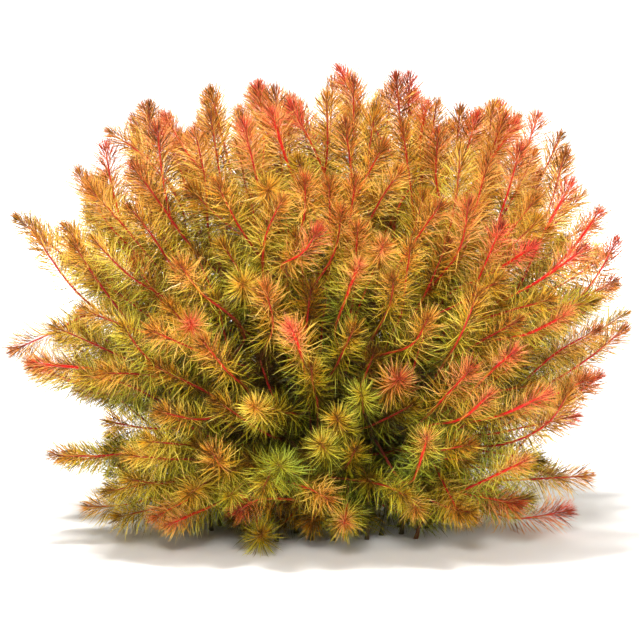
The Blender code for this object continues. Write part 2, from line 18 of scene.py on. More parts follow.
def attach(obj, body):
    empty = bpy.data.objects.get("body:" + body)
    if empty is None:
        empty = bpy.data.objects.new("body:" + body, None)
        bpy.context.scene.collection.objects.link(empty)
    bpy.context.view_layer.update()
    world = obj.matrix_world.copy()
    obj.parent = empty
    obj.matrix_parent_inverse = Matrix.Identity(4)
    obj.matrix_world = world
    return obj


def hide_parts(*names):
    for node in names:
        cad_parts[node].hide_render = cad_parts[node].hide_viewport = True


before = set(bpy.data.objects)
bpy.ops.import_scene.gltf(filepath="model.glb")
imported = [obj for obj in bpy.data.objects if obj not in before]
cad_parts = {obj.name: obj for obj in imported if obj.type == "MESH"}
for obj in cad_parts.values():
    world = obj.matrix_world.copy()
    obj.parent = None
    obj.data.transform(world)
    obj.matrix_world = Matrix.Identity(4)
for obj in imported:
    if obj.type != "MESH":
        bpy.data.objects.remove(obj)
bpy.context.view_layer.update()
nodes = sorted(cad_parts)

# %% [markdown]
# ## The camera
#
# The photograph looks at the bush from the front and a little above. A long lens gives the same flat view.

# %% Camera
PIXEL_SIZE = 0.00048
VIEW_DISTANCE = 1.30
VIEW_ELEVATION = math.radians(7.0)
PHOTO_CENTRE = (320.0, 320.0)
CENTRAL_FOOT_ROW = 522.0
SENSOR_WIDTH = 36.0


def add_object(name, data):
    """An object that puts this data into the scene."""
    made = bpy.data.objects.new(name, data)
    bpy.context.scene.collection.objects.link(made)
    return made


right = Vector((1, 0, 0))
up = Vector((0, math.sin(VIEW_ELEVATION), math.cos(VIEW_ELEVATION)))
ahead = Vector((0, math.cos(VIEW_ELEVATION), -math.sin(VIEW_ELEVATION)))
aim_height = (CENTRAL_FOOT_ROW - PHOTO_CENTRE[1]) * PIXEL_SIZE / math.cos(VIEW_ELEVATION)
eye = Vector((0, 0, aim_height)) - ahead * VIEW_DISTANCE
camera = add_object("camera", bpy.data.cameras.new("camera"))
camera.location = eye
camera.rotation_euler = ahead.to_track_quat("-Z", "Y").to_euler()
camera.data.sensor_width = SENSOR_WIDTH
camera.data.lens = SENSOR_WIDTH * VIEW_DISTANCE / (2 * PHOTO_CENTRE[0] * PIXEL_SIZE)
bpy.context.scene.camera = camera
print("lens", round(camera.data.lens, 1), "mm")

# %% [markdown]
# ## Shader maths
#
# One small class wraps a node's socket, so that sums of sockets read like sums of numbers.

# %% Shader helpers
class Shade:
    """A socket of a material's node tree that can be used in sums."""

    def __init__(self, tree, socket=None):
        self.tree = tree
        self.socket = socket

    def node(self, kind, settings=None, output=0, **values):
        """A new node. Its inputs are filled by name, or by number as i0, i1 and so on."""
        made = self.tree.nodes.new(kind)
        for name, value in (settings or {}).items():
            setattr(made, name, value)
        for name, value in values.items():
            key = int(name[1:]) if name[0] == "i" and name[1:].isdigit() else name.replace("_", " ")
            if isinstance(value, Shade):
                self.tree.links.new(value.socket, made.inputs[key])
            else:
                made.inputs[key].default_value = value
        return Shade(self.tree, made.outputs[output] if made.outputs else None)

    def math(self, operation, first, second):
        return self.node("ShaderNodeMath", {"operation": operation}, i0=first, i1=second)

    def __sub__(self, other):
        return self.math("SUBTRACT", self, other)

    def __rsub__(self, other):
        return self.math("SUBTRACT", other, self)

    def __mul__(self, other):
        return self.math("MULTIPLY", self, other)

    def ramp(self, stops):
        """A colour for every value, blended between the stops."""
        made = self.node("ShaderNodeValToRGB", Fac=self)
        bar = made.socket.node.color_ramp
        bar.elements.remove(bar.elements[1])
        bar.elements[0].position = stops[0][0]
        for place, _ in stops[1:]:
            bar.elements.new(place)
        for element, (_, colour) in zip(bar.elements, stops):
            element.color = (*colour, 1)
        return made

    def mixed(self, other, share, blend="MIX"):
        """This colour with a share of another one laid over it or multiplied with it."""
        settings = {"data_type": "RGBA", "blend_type": blend}
        return self.node("ShaderNodeMix", settings, output=2, i0=share, i6=self, i7=other)


def new_material(name):
    """An empty material, and the shade that its nodes are made with."""
    material = bpy.data.materials.new(name)
    material.use_nodes = True
    material.node_tree.nodes.clear()
    return material, Shade(material.node_tree)


print("shader helpers ready")

# %% [markdown]
# ## Floor and light
#
# The bush stands on a white sheet that curves up behind it. Lamps above and in front light the tips and leave
# the heart of the bush dark, which gives it depth; painted shade in the leaf colours darkens the heart
# further.

# %% Floor
SHEET_FRONT = 2.2
SHEET_BACK = 3.0
SHEET_HALF_WIDTH = 4.0
SHEET_HEIGHT = 3.0
SHEET_CURVE = 0.8
CURVE_PLACES = 13
PAPER_GRAIN = 3.0
PAPER_TONES = [(0.3, (0.86, 0.86, 0.86)), (0.7, (0.88, 0.88, 0.875))]
PAPER_ROUGHNESS = 0.9

profile = [(-SHEET_FRONT, 0.0)]
for turn in np.linspace(0, math.pi / 2, CURVE_PLACES):
    profile.append((SHEET_BACK - SHEET_CURVE * (1 - math.sin(turn)), SHEET_CURVE * (1 - math.cos(turn))))
profile.append((SHEET_BACK, SHEET_HEIGHT))
corners = [(side * SHEET_HALF_WIDTH, y, z) for y, z in profile for side in (-1, 1)]
quads = [(2 * i, 2 * i + 1, 2 * i + 3, 2 * i + 2) for i in range(len(profile) - 1)]
sheet_mesh = bpy.data.meshes.new("studio sheet")
sheet_mesh.from_pydata(corners, [], quads)
sheet_mesh.shade_smooth()
paper, shade = new_material("white paper")
spot = shade.node("ShaderNodeTexCoord", output="Object")
tone = shade.node("ShaderNodeTexNoise", Vector=spot, Scale=PAPER_GRAIN).ramp(PAPER_TONES)
skin = shade.node("ShaderNodeBsdfPrincipled", Base_Color=tone, Roughness=PAPER_ROUGHNESS)
shade.node("ShaderNodeOutputMaterial", Surface=skin)
sheet_mesh.materials.append(paper)
sheet = add_object("studio_sheet", sheet_mesh)
print("sheet of", len(quads), "strips")

# %% Light
WORLD_LIGHT = 0.15
LAMP_COLOUR = (1.0, 0.98, 0.95)
BUSH_MIDDLE = (0.0, 0.0, 0.1)
SHEET_MIDDLE = (0.0, SHEET_BACK, 0.5)
# Each lamp's name and place, where it points, its size in metres and its watts
LAMPS = (
    ("top lamp", (-0.15, -0.15, 1.3), BUSH_MIDDLE, 0.25, 36.0),
    ("front lamp", (-0.15, -1.40, 0.90), BUSH_MIDDLE, 0.3, 17.0),
    ("back lamp", (0.5, 1.2, 0.9), BUSH_MIDDLE, 0.6, 8.0),
    ("side lamp", (1.15, -0.85, 0.45), BUSH_MIDDLE, 0.4, 9.0),
    ("sheet lamp", (0.0, 1.1, 1.2), SHEET_MIDDLE, 1.2, 90.0),
)

world = bpy.data.worlds.new("studio")
world.use_nodes = True
background = world.node_tree.nodes["Background"]
background.inputs["Color"].default_value = (1.0, 1.0, 1.0, 1.0)
background.inputs["Strength"].default_value = WORLD_LIGHT
bpy.context.scene.world = world
bpy.context.scene.view_settings.view_transform = "Standard"
for name, place, aim, size, watts in LAMPS:
    light = bpy.data.lights.new(name, "AREA")
    light.size = size
    light.energy = watts
    light.color = LAMP_COLOUR
    holder = add_object(name, light)
    holder.location = place
    holder.rotation_euler = (Vector(aim) - holder.location).to_track_quat("-Z", "Y").to_euler()
print(len(LAMPS), "lamps")

# %% [markdown]
# ## Where the shoots lie
#
# The rules and the chance numbers that grew the solids put every shoot's centre line where its solid is.
# First come the shoots that the photograph shows. Each is written down as its colour, then in pixels its
# tip, any bend, and where its leaves end.

# %% Shoots read off the photograph
GREEN, YELLOW, GOLD, ORANGE, RUST, RED, PINK = 0.05, 0.25, 0.42, 0.58, 0.72, 0.88, 1.0

SEEN_SHOOTS = (
    (GOLD, 14, 216, 49, 244, 87, 276), (GOLD, 72, 241, 93, 274, 118, 312),
    (GOLD, 91, 237, 112, 256, 136, 279), (ORANGE, 77, 169, 112, 222), (ORANGE, 107, 130, 138, 168),
    (RUST, 105, 144, 108, 172, 119, 198), (ORANGE, 149, 101, 147, 140), (RUST, 163, 113, 180, 138, 203, 161),
    (RUST, 157, 126, 166, 193, 180, 262), (GOLD, 128, 205, 147, 241), (ORANGE, 194, 127, 200, 170),
    (ORANGE, 210, 87, 220, 125), (ORANGE, 216, 181, 234, 210, 247, 241), (RUST, 258, 82, 258, 118),
    (RED, 270, 108, 279, 138, 291, 169), (PINK, 338, 66, 357, 95, 373, 132), (ORANGE, 345, 120, 350, 160),
    (ORANGE, 396, 73, 400, 110), (GOLD, 402, 168, 382, 195, 377, 226), (RED, 427, 101, 429, 140),
    (GOLD, 268, 188, 270, 195), (ORANGE, 284, 196, 278, 232, 270, 270), (ORANGE, 305, 176, 298, 212),
    (ORANGE, 342, 208, 327, 256, 312, 307), (ORANGE, 438, 130, 447, 198), (ORANGE, 461, 105, 448, 140),
    (PINK, 500, 101, 499, 150), (RUST, 539, 113, 538, 133, 529, 150), (ORANGE, 562, 132, 542, 165, 513, 200),
    (GOLD, 461, 146, 455, 180), (RUST, 521, 144, 516, 172, 504, 196), (RED, 573, 181, 566, 205, 550, 233),
    (RED, 601, 209, 576, 238), (RUST, 618, 237, 608, 264, 575, 294), (PINK, 536, 245, 517, 258),
    (ORANGE, 442, 203, 420, 237), (ORANGE, 469, 200, 458, 242, 435, 276), (RED, 587, 247, 568, 262, 546, 276),
    (ORANGE, 10, 352, 30, 341, 60, 333), (GOLD, 52, 326, 84, 340, 122, 363),
    (PINK, 28, 363, 60, 366, 91, 370), (GOLD, 79, 375, 126, 393, 174, 416), (GOLD, 81, 309, 120, 325),
    (GOLD, 121, 323, 132, 346, 157, 357), (PINK, 190, 320, 194, 328), (RUST, 201, 339, 219, 364),
    (ORANGE, 178, 262, 187, 280, 203, 291), (RUST, 321, 225, 297, 246), (ORANGE, 384, 243, 384, 252),
    (RED, 361, 260, 352, 298, 339, 342), (RED, 289, 323, 300, 360, 307, 403), (GOLD, 242, 283, 244, 291),
    (GOLD, 264, 284, 267, 330, 262, 382), (GOLD, 394, 276, 394, 306, 378, 333),
    (ORANGE, 430, 315, 405, 339, 378, 359), (RUST, 401, 377, 398, 381), (YELLOW, 252, 405, 256, 410),
    (YELLOW, 320, 442, 322, 446), (ORANGE, 619, 279, 594, 293, 560, 302),
    (ORANGE, 628, 326, 610, 344, 588, 356), (ORANGE, 601, 328, 562, 355, 511, 391),
    (RED, 573, 311, 540, 330, 501, 340), (RUST, 591, 378, 560, 395), (RED, 517, 349, 503, 367, 487, 382),
    (GOLD, 503, 279, 485, 292), (ORANGE, 479, 290, 468, 320, 455, 346), (PINK, 493, 391, 474, 411, 449, 423),
    (RED, 550, 392, 518, 412, 481, 428), (ORANGE, 572, 387, 556, 411, 516, 423),
    (RED, 428, 434, 427, 447, 413, 471), (RED, 529, 459, 490, 483, 445, 512),
    (ORANGE, 591, 476, 550, 481, 507, 485), (RUST, 572, 510, 533, 520, 507, 500), (RED, 344, 525, 344, 515),
    (ORANGE, 331, 501, 310, 497), (ORANGE, 48, 455, 75, 458, 104, 453), (GOLD, 85, 507, 112, 508, 150, 498),
    (YELLOW, 106, 421, 145, 425), (GOLD, 123, 455, 146, 463, 176, 463),
    (YELLOW, 127, 479, 156, 480, 186, 475), (RED, 164, 527, 184, 518, 207, 515), (YELLOW, 261, 493, 262, 488),
    (YELLOW, 262, 533, 262, 525), (RUST, 235, 512, 276, 512, 314, 501),
)
print(len(SEEN_SHOOTS), "shoots read off the photograph")

# %% [markdown]
# A pixel gives only a direction. The shoot's tip is where that line of sight meets the bush's rounded
# form, and the shoot leans towards the viewer as far as its place on that form suggests.

# %% From pixels to places
SEED = 22
HALF_WIDTH = 0.150
HALF_DEPTH = 0.128
WAIST_HEIGHT = 0.100
RISE_ABOVE_WAIST = 0.120
DROP_BELOW_WAIST = 0.125
DOME_SQUARENESS = 2.4
FAN_CENTRE = Vector((0.0, 0.0, 0.035))
LEAFY_LENGTH = 0.066
GROUND_CLEARANCE = 0.0045
SEEN_DEPTHS = (-0.002, 0.010)
LEAN_LIMITS = (-0.2, 0.85)
END_ON_LENGTH = 0.006
END_ON_LEAN = 0.97
LEAST_ACROSS = 0.6
RAY_STEPS = 400


class Shoot:
    """One leafy shoot: its centre line runs from its foot to its tip."""

    def __init__(self, tint, tip, heading, length, bend, seen):
        self.tint = tint
        self.seen = seen
        self.leafiness = 1.0
        self.leads = False
        self.tip = tip
        self.tail = tip - heading * length
        middle = (self.tip + self.tail) / 2 + bend
        self.pull = 2 * middle - (self.tip + self.tail) / 2

    def leafy_point(self, share):
        """A point of the leafy stretch, from 0 where the leaves begin to 1 at the tip."""
        back = 1 - share
        arc = self.tail * back * back + self.pull * 2 * share * back + self.tip * share * share
        return Vector((arc.x, arc.y, max(arc.z, GROUND_CLEARANCE)))


def dome_level(x, y, z):
    """Under 1 inside the bush's rounded form and over 1 outside it."""
    above = z - WAIST_HEIGHT
    half_height = np.where(above > 0, RISE_ABOVE_WAIST, DROP_BELOW_WAIST)
    power = DOME_SQUARENESS
    return abs(x / HALF_WIDTH) ** power + abs(y / HALF_DEPTH) ** power + abs(above / half_height) ** power


def place_seen_at(pixel, depth_shift):
    """The place on the bush's surface that lies under a pixel of the photograph."""
    slope = PIXEL_SIZE / VIEW_DISTANCE
    across = (pixel[0] - PHOTO_CENTRE[0]) * slope
    rise = (PHOTO_CENTRE[1] - pixel[1]) * slope
    ray = ahead + right * across + up * rise
    reach = np.linspace(VIEW_DISTANCE - HALF_DEPTH, VIEW_DISTANCE + HALF_DEPTH, RAY_STEPS)
    level = dome_level(*(eye[axis] + ray[axis] * reach for axis in range(3)))
    inside = np.nonzero(level < 1)[0]
    step = inside[0] if len(inside) else int(level.argmin())
    return eye + ray * (float(reach[step]) + depth_shift)


def natural_heading(tip):
    """Shoots fan out from the middle of the bush, low ones flat and high ones upright."""
    return (tip - FAN_CENTRE).normalized()


def seen_shoot(record, rng):
    """A shoot that the photograph shows, leaning towards the viewer as its place suggests."""
    pixels = list(zip(record[1::2], record[2::2]))
    (tip_x, tip_y), (tail_x, tail_y) = pixels[0], pixels[-1]
    tip = place_seen_at(pixels[0], rng.uniform(*SEEN_DEPTHS))
    flat = right * (tip_x - tail_x) - up * (tip_y - tail_y)
    flat_length = flat.length * PIXEL_SIZE
    towards_viewer = min(max(-natural_heading(tip).dot(ahead), LEAN_LIMITS[0]), LEAN_LIMITS[1])
    if flat_length < END_ON_LENGTH:
        towards_viewer = END_ON_LEAN
    across = math.sqrt(1 - towards_viewer**2)
    heading = flat.normalized() * across - ahead * towards_viewer
    bend = Vector((0, 0, 0))
    if len(pixels) == 3:
        bend += right * (pixels[1][0] - (tip_x + tail_x) / 2)
        bend -= up * (pixels[1][1] - (tip_y + tail_y) / 2)
        bend *= PIXEL_SIZE
    length = max(LEAFY_LENGTH, flat_length / max(across, LEAST_ACROSS))
    return Shoot(record[0], tip, heading, length, bend, True)


rng = np.random.default_rng(SEED)
shoots = [seen_shoot(record, rng) for record in SEEN_SHOOTS]
tips_across = [shoot.tip.x for shoot in shoots]
print("tips from", round(min(tips_across), 3), "to", round(max(tips_across), 3))

# %% [markdown]
# Shoots of the same kind fill the back and the gaps. Places are tried in an order that covers the dome
# evenly, and one is taken when no tip is near and the photograph's outline holds it.

# %% Shoots that fill the dome
# The bush's outline read off the photograph in pixels, from its left foot up and round to the right
SEEN_OUTLINE = (
    (164, 532), (85, 512), (46, 462), (46, 448), (108, 436), (100, 418), (70, 385), (24, 368), (8, 352),
    (12, 340), (60, 322), (84, 306), (100, 298), (92, 284), (60, 262), (10, 222), (12, 208), (60, 222),
    (74, 205), (68, 172), (92, 175), (98, 140), (118, 132), (140, 105), (155, 98), (170, 108), (196, 118),
    (208, 84), (222, 92), (236, 112), (254, 80), (266, 86), (288, 92), (306, 104), (322, 112), (334, 66),
    (350, 70), (366, 100), (388, 80), (396, 70), (412, 72), (424, 96), (444, 108), (462, 100), (480, 108),
    (500, 98), (520, 112), (541, 108), (566, 130), (572, 150), (582, 178), (604, 206), (622, 234), (600, 268),
    (622, 276), (632, 322), (606, 346), (596, 380), (574, 398), (548, 404), (500, 424), (520, 450),
    (594, 472), (590, 482), (560, 490), (576, 508), (560, 522), (500, 528), (455, 534), (417, 540),
    (344, 545), (262, 545),
)
TOP_SPACING = 0.0215
SIDE_SPACING = 0.0278
TOP_FROM_HEIGHT = 0.190
LOWEST_TIP = 0.012
HIDDEN_DEPTHS = (0.93, 1.0)
HIDDEN_LENGTHS = (0.85, 1.1)
HEADING_WOBBLE = 0.13
MOST_SAG = 0.005
BEND_WOBBLE = 0.0015
TINT_CURVE = 0.6
TINT_SPREAD = 0.07
ACCENT_SHARE = 0.13
PLACES_TRIED = 6000
EVEN_STEPS = (0.7548776662, 0.5698402910)


def inside_outline(place):
    """Whether the photograph shows this place inside the bush's outline."""
    away = place - eye
    zoom = VIEW_DISTANCE / (PIXEL_SIZE * away.dot(ahead))
    column = PHOTO_CENTRE[0] + away.dot(right) * zoom
    row = PHOTO_CENTRE[1] - away.dot(up) * zoom
    inside = False
    for (x, y), (next_x, next_y) in zip(SEEN_OUTLINE, SEEN_OUTLINE[1:] + SEEN_OUTLINE[:1]):
        if (y > row) != (next_y > row) and column < x + (next_x - x) * (row - y) / (next_y - y):
            inside = not inside
    return inside


def hidden_tint(tip, rng):
    """Shoots are green and yellow low down, and orange to red towards the top."""
    height = min(max(tip.z / (WAIST_HEIGHT + RISE_ABOVE_WAIST), 0), 1)
    tint = YELLOW + (ORANGE - YELLOW) * height**TINT_CURVE + rng.normal(0, TINT_SPREAD)
    if rng.random() < ACCENT_SHARE:
        tint = rng.uniform(RED, PINK)
    return min(max(tint, GREEN), PINK)


def hidden_shoots(taken, rng, top_spacing, side_spacing, depths, lowest):
    """Shoots that fill the dome at these depths, where the ones in the list leave room."""
    found = []
    for count in range(PLACES_TRIED):
        lift = 1 - 2 * ((count * EVEN_STEPS[0]) % 1)
        turn = 2 * math.pi * ((count * EVEN_STEPS[1]) % 1)
        level = math.sqrt(1 - lift * lift)
        ray = Vector((level * math.cos(turn), level * math.sin(turn), lift))
        level_out = float(dome_level(ray.x, ray.y, ray.z + WAIST_HEIGHT))
        depth = rng.uniform(*depths)
        tip = Vector((0, 0, WAIST_HEIGHT)) + ray * depth * level_out ** (-1 / DOME_SQUARENESS)
        if tip.z < lowest or not inside_outline(tip):
            continue
        spacing = top_spacing if tip.z > TOP_FROM_HEIGHT else side_spacing
        if any((tip - other.tip).length < spacing for other in taken + found):
            continue
        wobble = Vector(rng.normal(0, HEADING_WOBBLE, 3))
        heading = (natural_heading(tip) + wobble).normalized()
        bend = Vector((0, 0, -rng.uniform(0.0, MOST_SAG))) + Vector(rng.normal(0, BEND_WOBBLE, 3))
        length = LEAFY_LENGTH * rng.uniform(*HIDDEN_LENGTHS)
        found.append(Shoot(hidden_tint(tip, rng), tip, heading, length, bend, False))
    return found


shoots += hidden_shoots(shoots, rng, TOP_SPACING, SIDE_SPACING, HIDDEN_DEPTHS, LOWEST_TIP)
print(len(shoots), "shoots with those that fill the dome")

# %% [markdown]
# ## Stems and their side shoots
#
# A rooted stem ends in a shoot of its own, and the shoots around it leave it as side shoots. The tips
# farthest apart lead, and each other shoot joins the nearest one that still has room.

# %% Families
STEM_COUNT = 48
MOST_SIDE_SHOOTS = 5
ROOTED_RADIUS = 0.070
ROOT_INSIDE_TAIL = 0.85
RISE_ACROSS = 0.3
RISE_UP = 0.5
LEAST_RISE = 0.006
LEAFY_SHARES = (0.0, 0.6, 1.0)
FEET_ON_STEM = (0.05, 0.95)
BARE_SHARE = 0.15
LATEST_START = 0.5


def choose_leaders(shoots):
    """The shoots that end a rooted stem, spread evenly over the dome. The others each join a stem."""
    tips = np.array([shoot.tip for shoot in shoots])
    chosen = [int(tips[:, 2].argmax())]
    nearest = np.linalg.norm(tips - tips[chosen[0]], axis=1)
    while len(chosen) < STEM_COUNT:
        chosen.append(int(nearest.argmax()))
        nearest = np.minimum(nearest, np.linalg.norm(tips - tips[chosen[-1]], axis=1))
    for stem, index in enumerate(chosen):
        shoots[index].stem = stem
        shoots[index].leads = True
    distance = np.linalg.norm(tips[:, None] - tips[chosen][None], axis=2)
    room = [MOST_SIDE_SHOOTS] * STEM_COUNT
    for index in np.argsort(distance.min(1)):
        if not shoots[index].leads:
            stem = next(s for s in np.argsort(distance[index]) if room[s] > 0)
            shoots[index].stem = int(stem)
            room[stem] -= 1
    return [shoots[index] for index in chosen]


def lay_leader(shoot):
    """A rooted stem rises from its place in the ground and leans out to its leafy end."""
    tail = shoot.leafy_point(0)
    reach = math.hypot(tail.x, tail.y)
    spread = min(ROOTED_RADIUS * math.sqrt(1 - natural_heading(shoot.tip).z), ROOT_INSIDE_TAIL * reach)
    root = Vector((tail.x * spread / reach, tail.y * spread / reach, 0.0))
    rise = root.lerp(tail, RISE_ACROSS)
    rise.z = max(RISE_UP * tail.z, LEAST_RISE)
    shoot.line = [root, rise] + [shoot.leafy_point(share) for share in LEAFY_SHARES]


def lay_side_shoot(shoot, leader, share):
    """A side shoot leaves its stem below the leaves and turns out to its own leafy end."""
    foot = leader.line[1].lerp(leader.line[2], share)
    leafy_run = shoot.tip - shoot.tail
    passed = (foot - shoot.tail).dot(leafy_run) / leafy_run.length_squared
    start = min(max(passed + BARE_SHARE, 0.0), LATEST_START)
    shoot.line = [foot] + [shoot.leafy_point(start + (1 - start) * part) for part in LEAFY_SHARES]
    shoot.foot_share = share


def lay_family(leader, side_shoots):
    """Lays a rooted stem and its side shoots, which leave it one above the other."""
    lay_leader(leader)
    run = leader.line[2] - leader.line[1]
    side_shoots.sort(key=lambda shoot: (shoot.tail - leader.line[1]).dot(run))
    low, high = FEET_ON_STEM
    for rank, shoot in enumerate(side_shoots):
        lay_side_shoot(shoot, leader, low + (high - low) * (rank + 0.5) / len(side_shoots))


leaders = choose_leaders(shoots)
for stem, leader in enumerate(leaders):
    lay_family(leader, [shoot for shoot in shoots if shoot.stem == stem and not shoot.leads])
central = min(leaders, key=lambda leader: leader.line[0].length)
central.line[0] = Vector((0, 0, 0))
print(len(leaders), "rooted stems with", len(shoots) - len(leaders), "side shoots")

# %% [markdown]
# The lines still run through each other. They are pushed apart a little at a time, first by the width of
# their leaves and then by the width of their stems.

# %% Room between the shoots
BRUSH_RADIUS = 0.0100
# The share of the radius at a brush's tail, belly and tip
TAIL_BELLY_TIP = (0.16, 1.0, 0.38)
SURFACE_GAP = 0.0003
JOINED_LENGTH = 0.012
ROOM_FOR_STEM = 0.0022
SPREAD_STEP = 0.10
LONGEST_STEP = 0.0012
TINY = 1e-9
UPWARD_NUDGE = (0.0, 0.0, 1e-6)
BRUSH_PASS = {"count": 16, "reach": 2 * BRUSH_RADIUS, "rounds": 45, "sideways": 0.3}
STEM_PASS = {"count": 40, "reach": 2 * ROOM_FOR_STEM, "rounds": 60, "sideways": 1.0}


def unit(rows):
    """Each row with its length brought to one."""
    return rows / np.linalg.norm(rows, axis=1)[:, None]


class LineSamples:
    """Evenly spaced places on every centre line, each between two of its line's points."""

    def __init__(self, shoots, count):
        self.shoots = shoots
        point_counts = np.array([len(shoot.line) for shoot in shoots])
        spots = np.concatenate([np.linspace(0, points - 1, count) for points in point_counts])
        self.start = np.cumsum(point_counts) - point_counts
        self.owner = np.repeat(np.arange(len(shoots)), count)
        self.stem = np.array([shoot.stem for shoot in shoots])[self.owner]
        self.leads = np.array([shoot.leads for shoot in shoots])[self.owner]
        points = point_counts[self.owner]
        low = np.minimum(spots.astype(int), points - 2)
        self.share = spots - low
        self.leafy = spots > points - len(LEAFY_SHARES)
        self.low = self.start[self.owner] + low

    def points(self):
        return np.array([point for shoot in self.shoots for point in shoot.line])

    def between(self, values):
        """Rows of values given at the line points, worked out at the samples."""
        share = self.share[:, None]
        return values[self.low] * (1 - share) + values[self.low + 1] * share

    def places(self):
        """Where the samples are, and which are near the foot of a side shoot."""
        points = self.points()
        places = self.between(points)
        feet = points[self.start][self.owner]
        return places, (np.linalg.norm(places - feet, axis=1) < JOINED_LENGTH) & ~self.leads

    def directions(self):
        """The direction of the centre line at each sample."""
        points = self.points()
        return unit(points[self.low + 1] - points[self.low])

    def close_pairs(self, reach):
        """Pairs of samples of different shoots nearer than reach, apart from where one grows out."""
        places, near_foot = self.places()
        tree = KDTree(len(places))
        for index, place in enumerate(places):
            tree.insert(place, index)
        tree.balance()
        found = [[other for _, other, _ in tree.find_range(place, reach)] for place in places]
        first = np.repeat(np.arange(len(places)), [len(others) for others in found])
        second = np.concatenate(found).astype(int)
        kin = near_foot[first] | near_foot[second] | (self.owner[first] == self.owner[second])
        apart = ~(kin & (self.stem[first] == self.stem[second]))
        first, second = first[apart], second[apart]
        return first, second, places[first] - places[second]


def spread_apart(shoots, count, reach, rounds, sideways):
    """Moves the centre lines of different shoots out of each other's way, little by little."""
    into_picture = np.array(ahead)
    samples = LineSamples(shoots, count)
    shares = [(0.0,) * (len(shoot.line) - len(TAIL_BELLY_TIP)) + TAIL_BELLY_TIP for shoot in shoots]
    radii = samples.between(BRUSH_RADIUS * np.concatenate(shares)[:, None])[:, 0]
    radii = np.where(samples.leafy, np.maximum(radii, ROOM_FOR_STEM), ROOM_FOR_STEM)
    radii = np.minimum(radii, reach / 2)
    seen = np.concatenate([np.full(len(shoot.line), shoot.seen) for shoot in shoots])
    fixed = np.zeros(len(seen), bool)
    fixed[samples.start] = fixed[samples.start - 1] = True
    for _ in range(rounds):
        first, second, away = samples.close_pairs(reach)
        distance = np.linalg.norm(away, axis=1)
        along = samples.directions()[first]
        away = unit(away - along * (away * along).sum(1)[:, None] + UPWARD_NUDGE)
        lack = np.maximum(radii[first] + radii[second] - distance, 0)
        if lack.max(initial=0) < SURFACE_GAP:
            break
        push = np.zeros((len(samples.owner), 3))
        np.add.at(push, first, away * (lack * SPREAD_STEP)[:, None])
        moves = np.zeros((len(seen), 3))
        np.add.at(moves, samples.low, push * (1 - samples.share)[:, None])
        np.add.at(moves, samples.low + 1, push * samples.share[:, None])
        depth = (moves @ into_picture)[:, None] * into_picture
        moves = np.where(seen[:, None], sideways * moves + (1 - sideways) * depth, moves)
        length = np.linalg.norm(moves, axis=1)
        moves *= (np.minimum(length, LONGEST_STEP) / np.maximum(length, TINY))[:, None]
        moves[fixed] = 0
        for shoot, start in zip(shoots, samples.start):
            for point, move in zip(shoot.line[1:], moves[start + 1:]):
                point += Vector(move)
                point.z = max(point.z, GROUND_CLEARANCE)
        for shoot in shoots:
            if not shoot.leads:
                run = leaders[shoot.stem].line
                shoot.line[0] = run[1].lerp(run[2], shoot.foot_share)


spread_apart(shoots, **BRUSH_PASS)
spread_apart(shoots, **STEM_PASS)
print(sum(len(shoot.line) for shoot in shoots), "points of centre lines pushed apart")

# %% [markdown]
# ## Smaller twigs
#
# The solids leave out the smaller twigs. Those that the photograph shows are read off it, and more fill
# the gaps in rounds: between the outer shoots, then deeper in the bush, and last low down to hide its
# foot. Each grows out of the nearest stem that lies behind it.

# %% Twigs
SMALL_SHOOTS = (
    (ORANGE, 87, 186, 108, 208, 126, 234), (ORANGE, 132, 164, 150, 190), (ORANGE, 210, 112, 216, 155),
    (ORANGE, 243, 120, 252, 160), (ORANGE, 275, 88, 278, 130), (RUST, 289, 102, 308, 134, 318, 167),
    (RUST, 410, 73, 409, 110), (ORANGE, 385, 143, 371, 168), (ORANGE, 402, 123, 408, 160),
    (ORANGE, 329, 179, 330, 210), (ORANGE, 356, 176, 352, 207), (RUST, 478, 113, 469, 145),
    (GOLD, 493, 102, 490, 135), (RED, 518, 119, 501, 145), (ORANGE, 489, 158, 482, 188),
    (ORANGE, 566, 150, 563, 170, 553, 190), (ORANGE, 538, 196, 524, 215), (GOLD, 542, 217, 527, 232),
    (RUST, 503, 223, 489, 259), (GOLD, 98, 373, 137, 375, 174, 389), (ORANGE, 148, 329, 175, 342),
    (ORANGE, 358, 224, 357, 244), (ORANGE, 411, 243, 409, 263), (GREEN, 361, 391, 362, 397),
    (GREEN, 336, 416, 338, 421), (GREEN, 276, 463, 278, 465), (GOLD, 597, 301, 560, 308),
    (GOLD, 555, 298, 518, 309), (GOLD, 522, 319, 500, 332), (RUST, 473, 367, 461, 382),
    (RUST, 577, 416, 545, 424), (RUST, 522, 505, 490, 500), (ORANGE, 461, 517, 455, 505),
    (ORANGE, 417, 512, 414, 505), (YELLOW, 144, 441, 175, 446), (YELLOW, 103, 492, 140, 487),
    (YELLOW, 114, 518, 135, 515, 160, 507), (RUST, 152, 519, 180, 505), (YELLOW, 188, 495, 195, 491),
    (YELLOW, 227, 498, 232, 494), (ORANGE, 438, 100, 433, 128, 427, 158), (RUST, 601, 374, 578, 396),
)
# Each round's spacing, depths, leafiness and greatest height
TWIG_ROUNDS = (
    (0.0230, (0.80, 0.92), 1.0, 1.0),
    (0.0228, (0.54, 0.76), 0.7, 1.0),
    (0.0240, (0.25, 0.52), 0.7, 1.0),
    (0.0170, (0.60, 0.85), 0.6, 0.03),
)
LOWEST_TWIG = 0.007
TWIG_BRANCHING = 0.35
TWIG_LEAFY_SHARES = (0.25, 0.6, 1.0)
EARLIEST_BRANCH = 0.018
SIDEWAYS_COST = 0.7
EARLY_COST = 1.0
PLAIN_BEFORE = 0.02


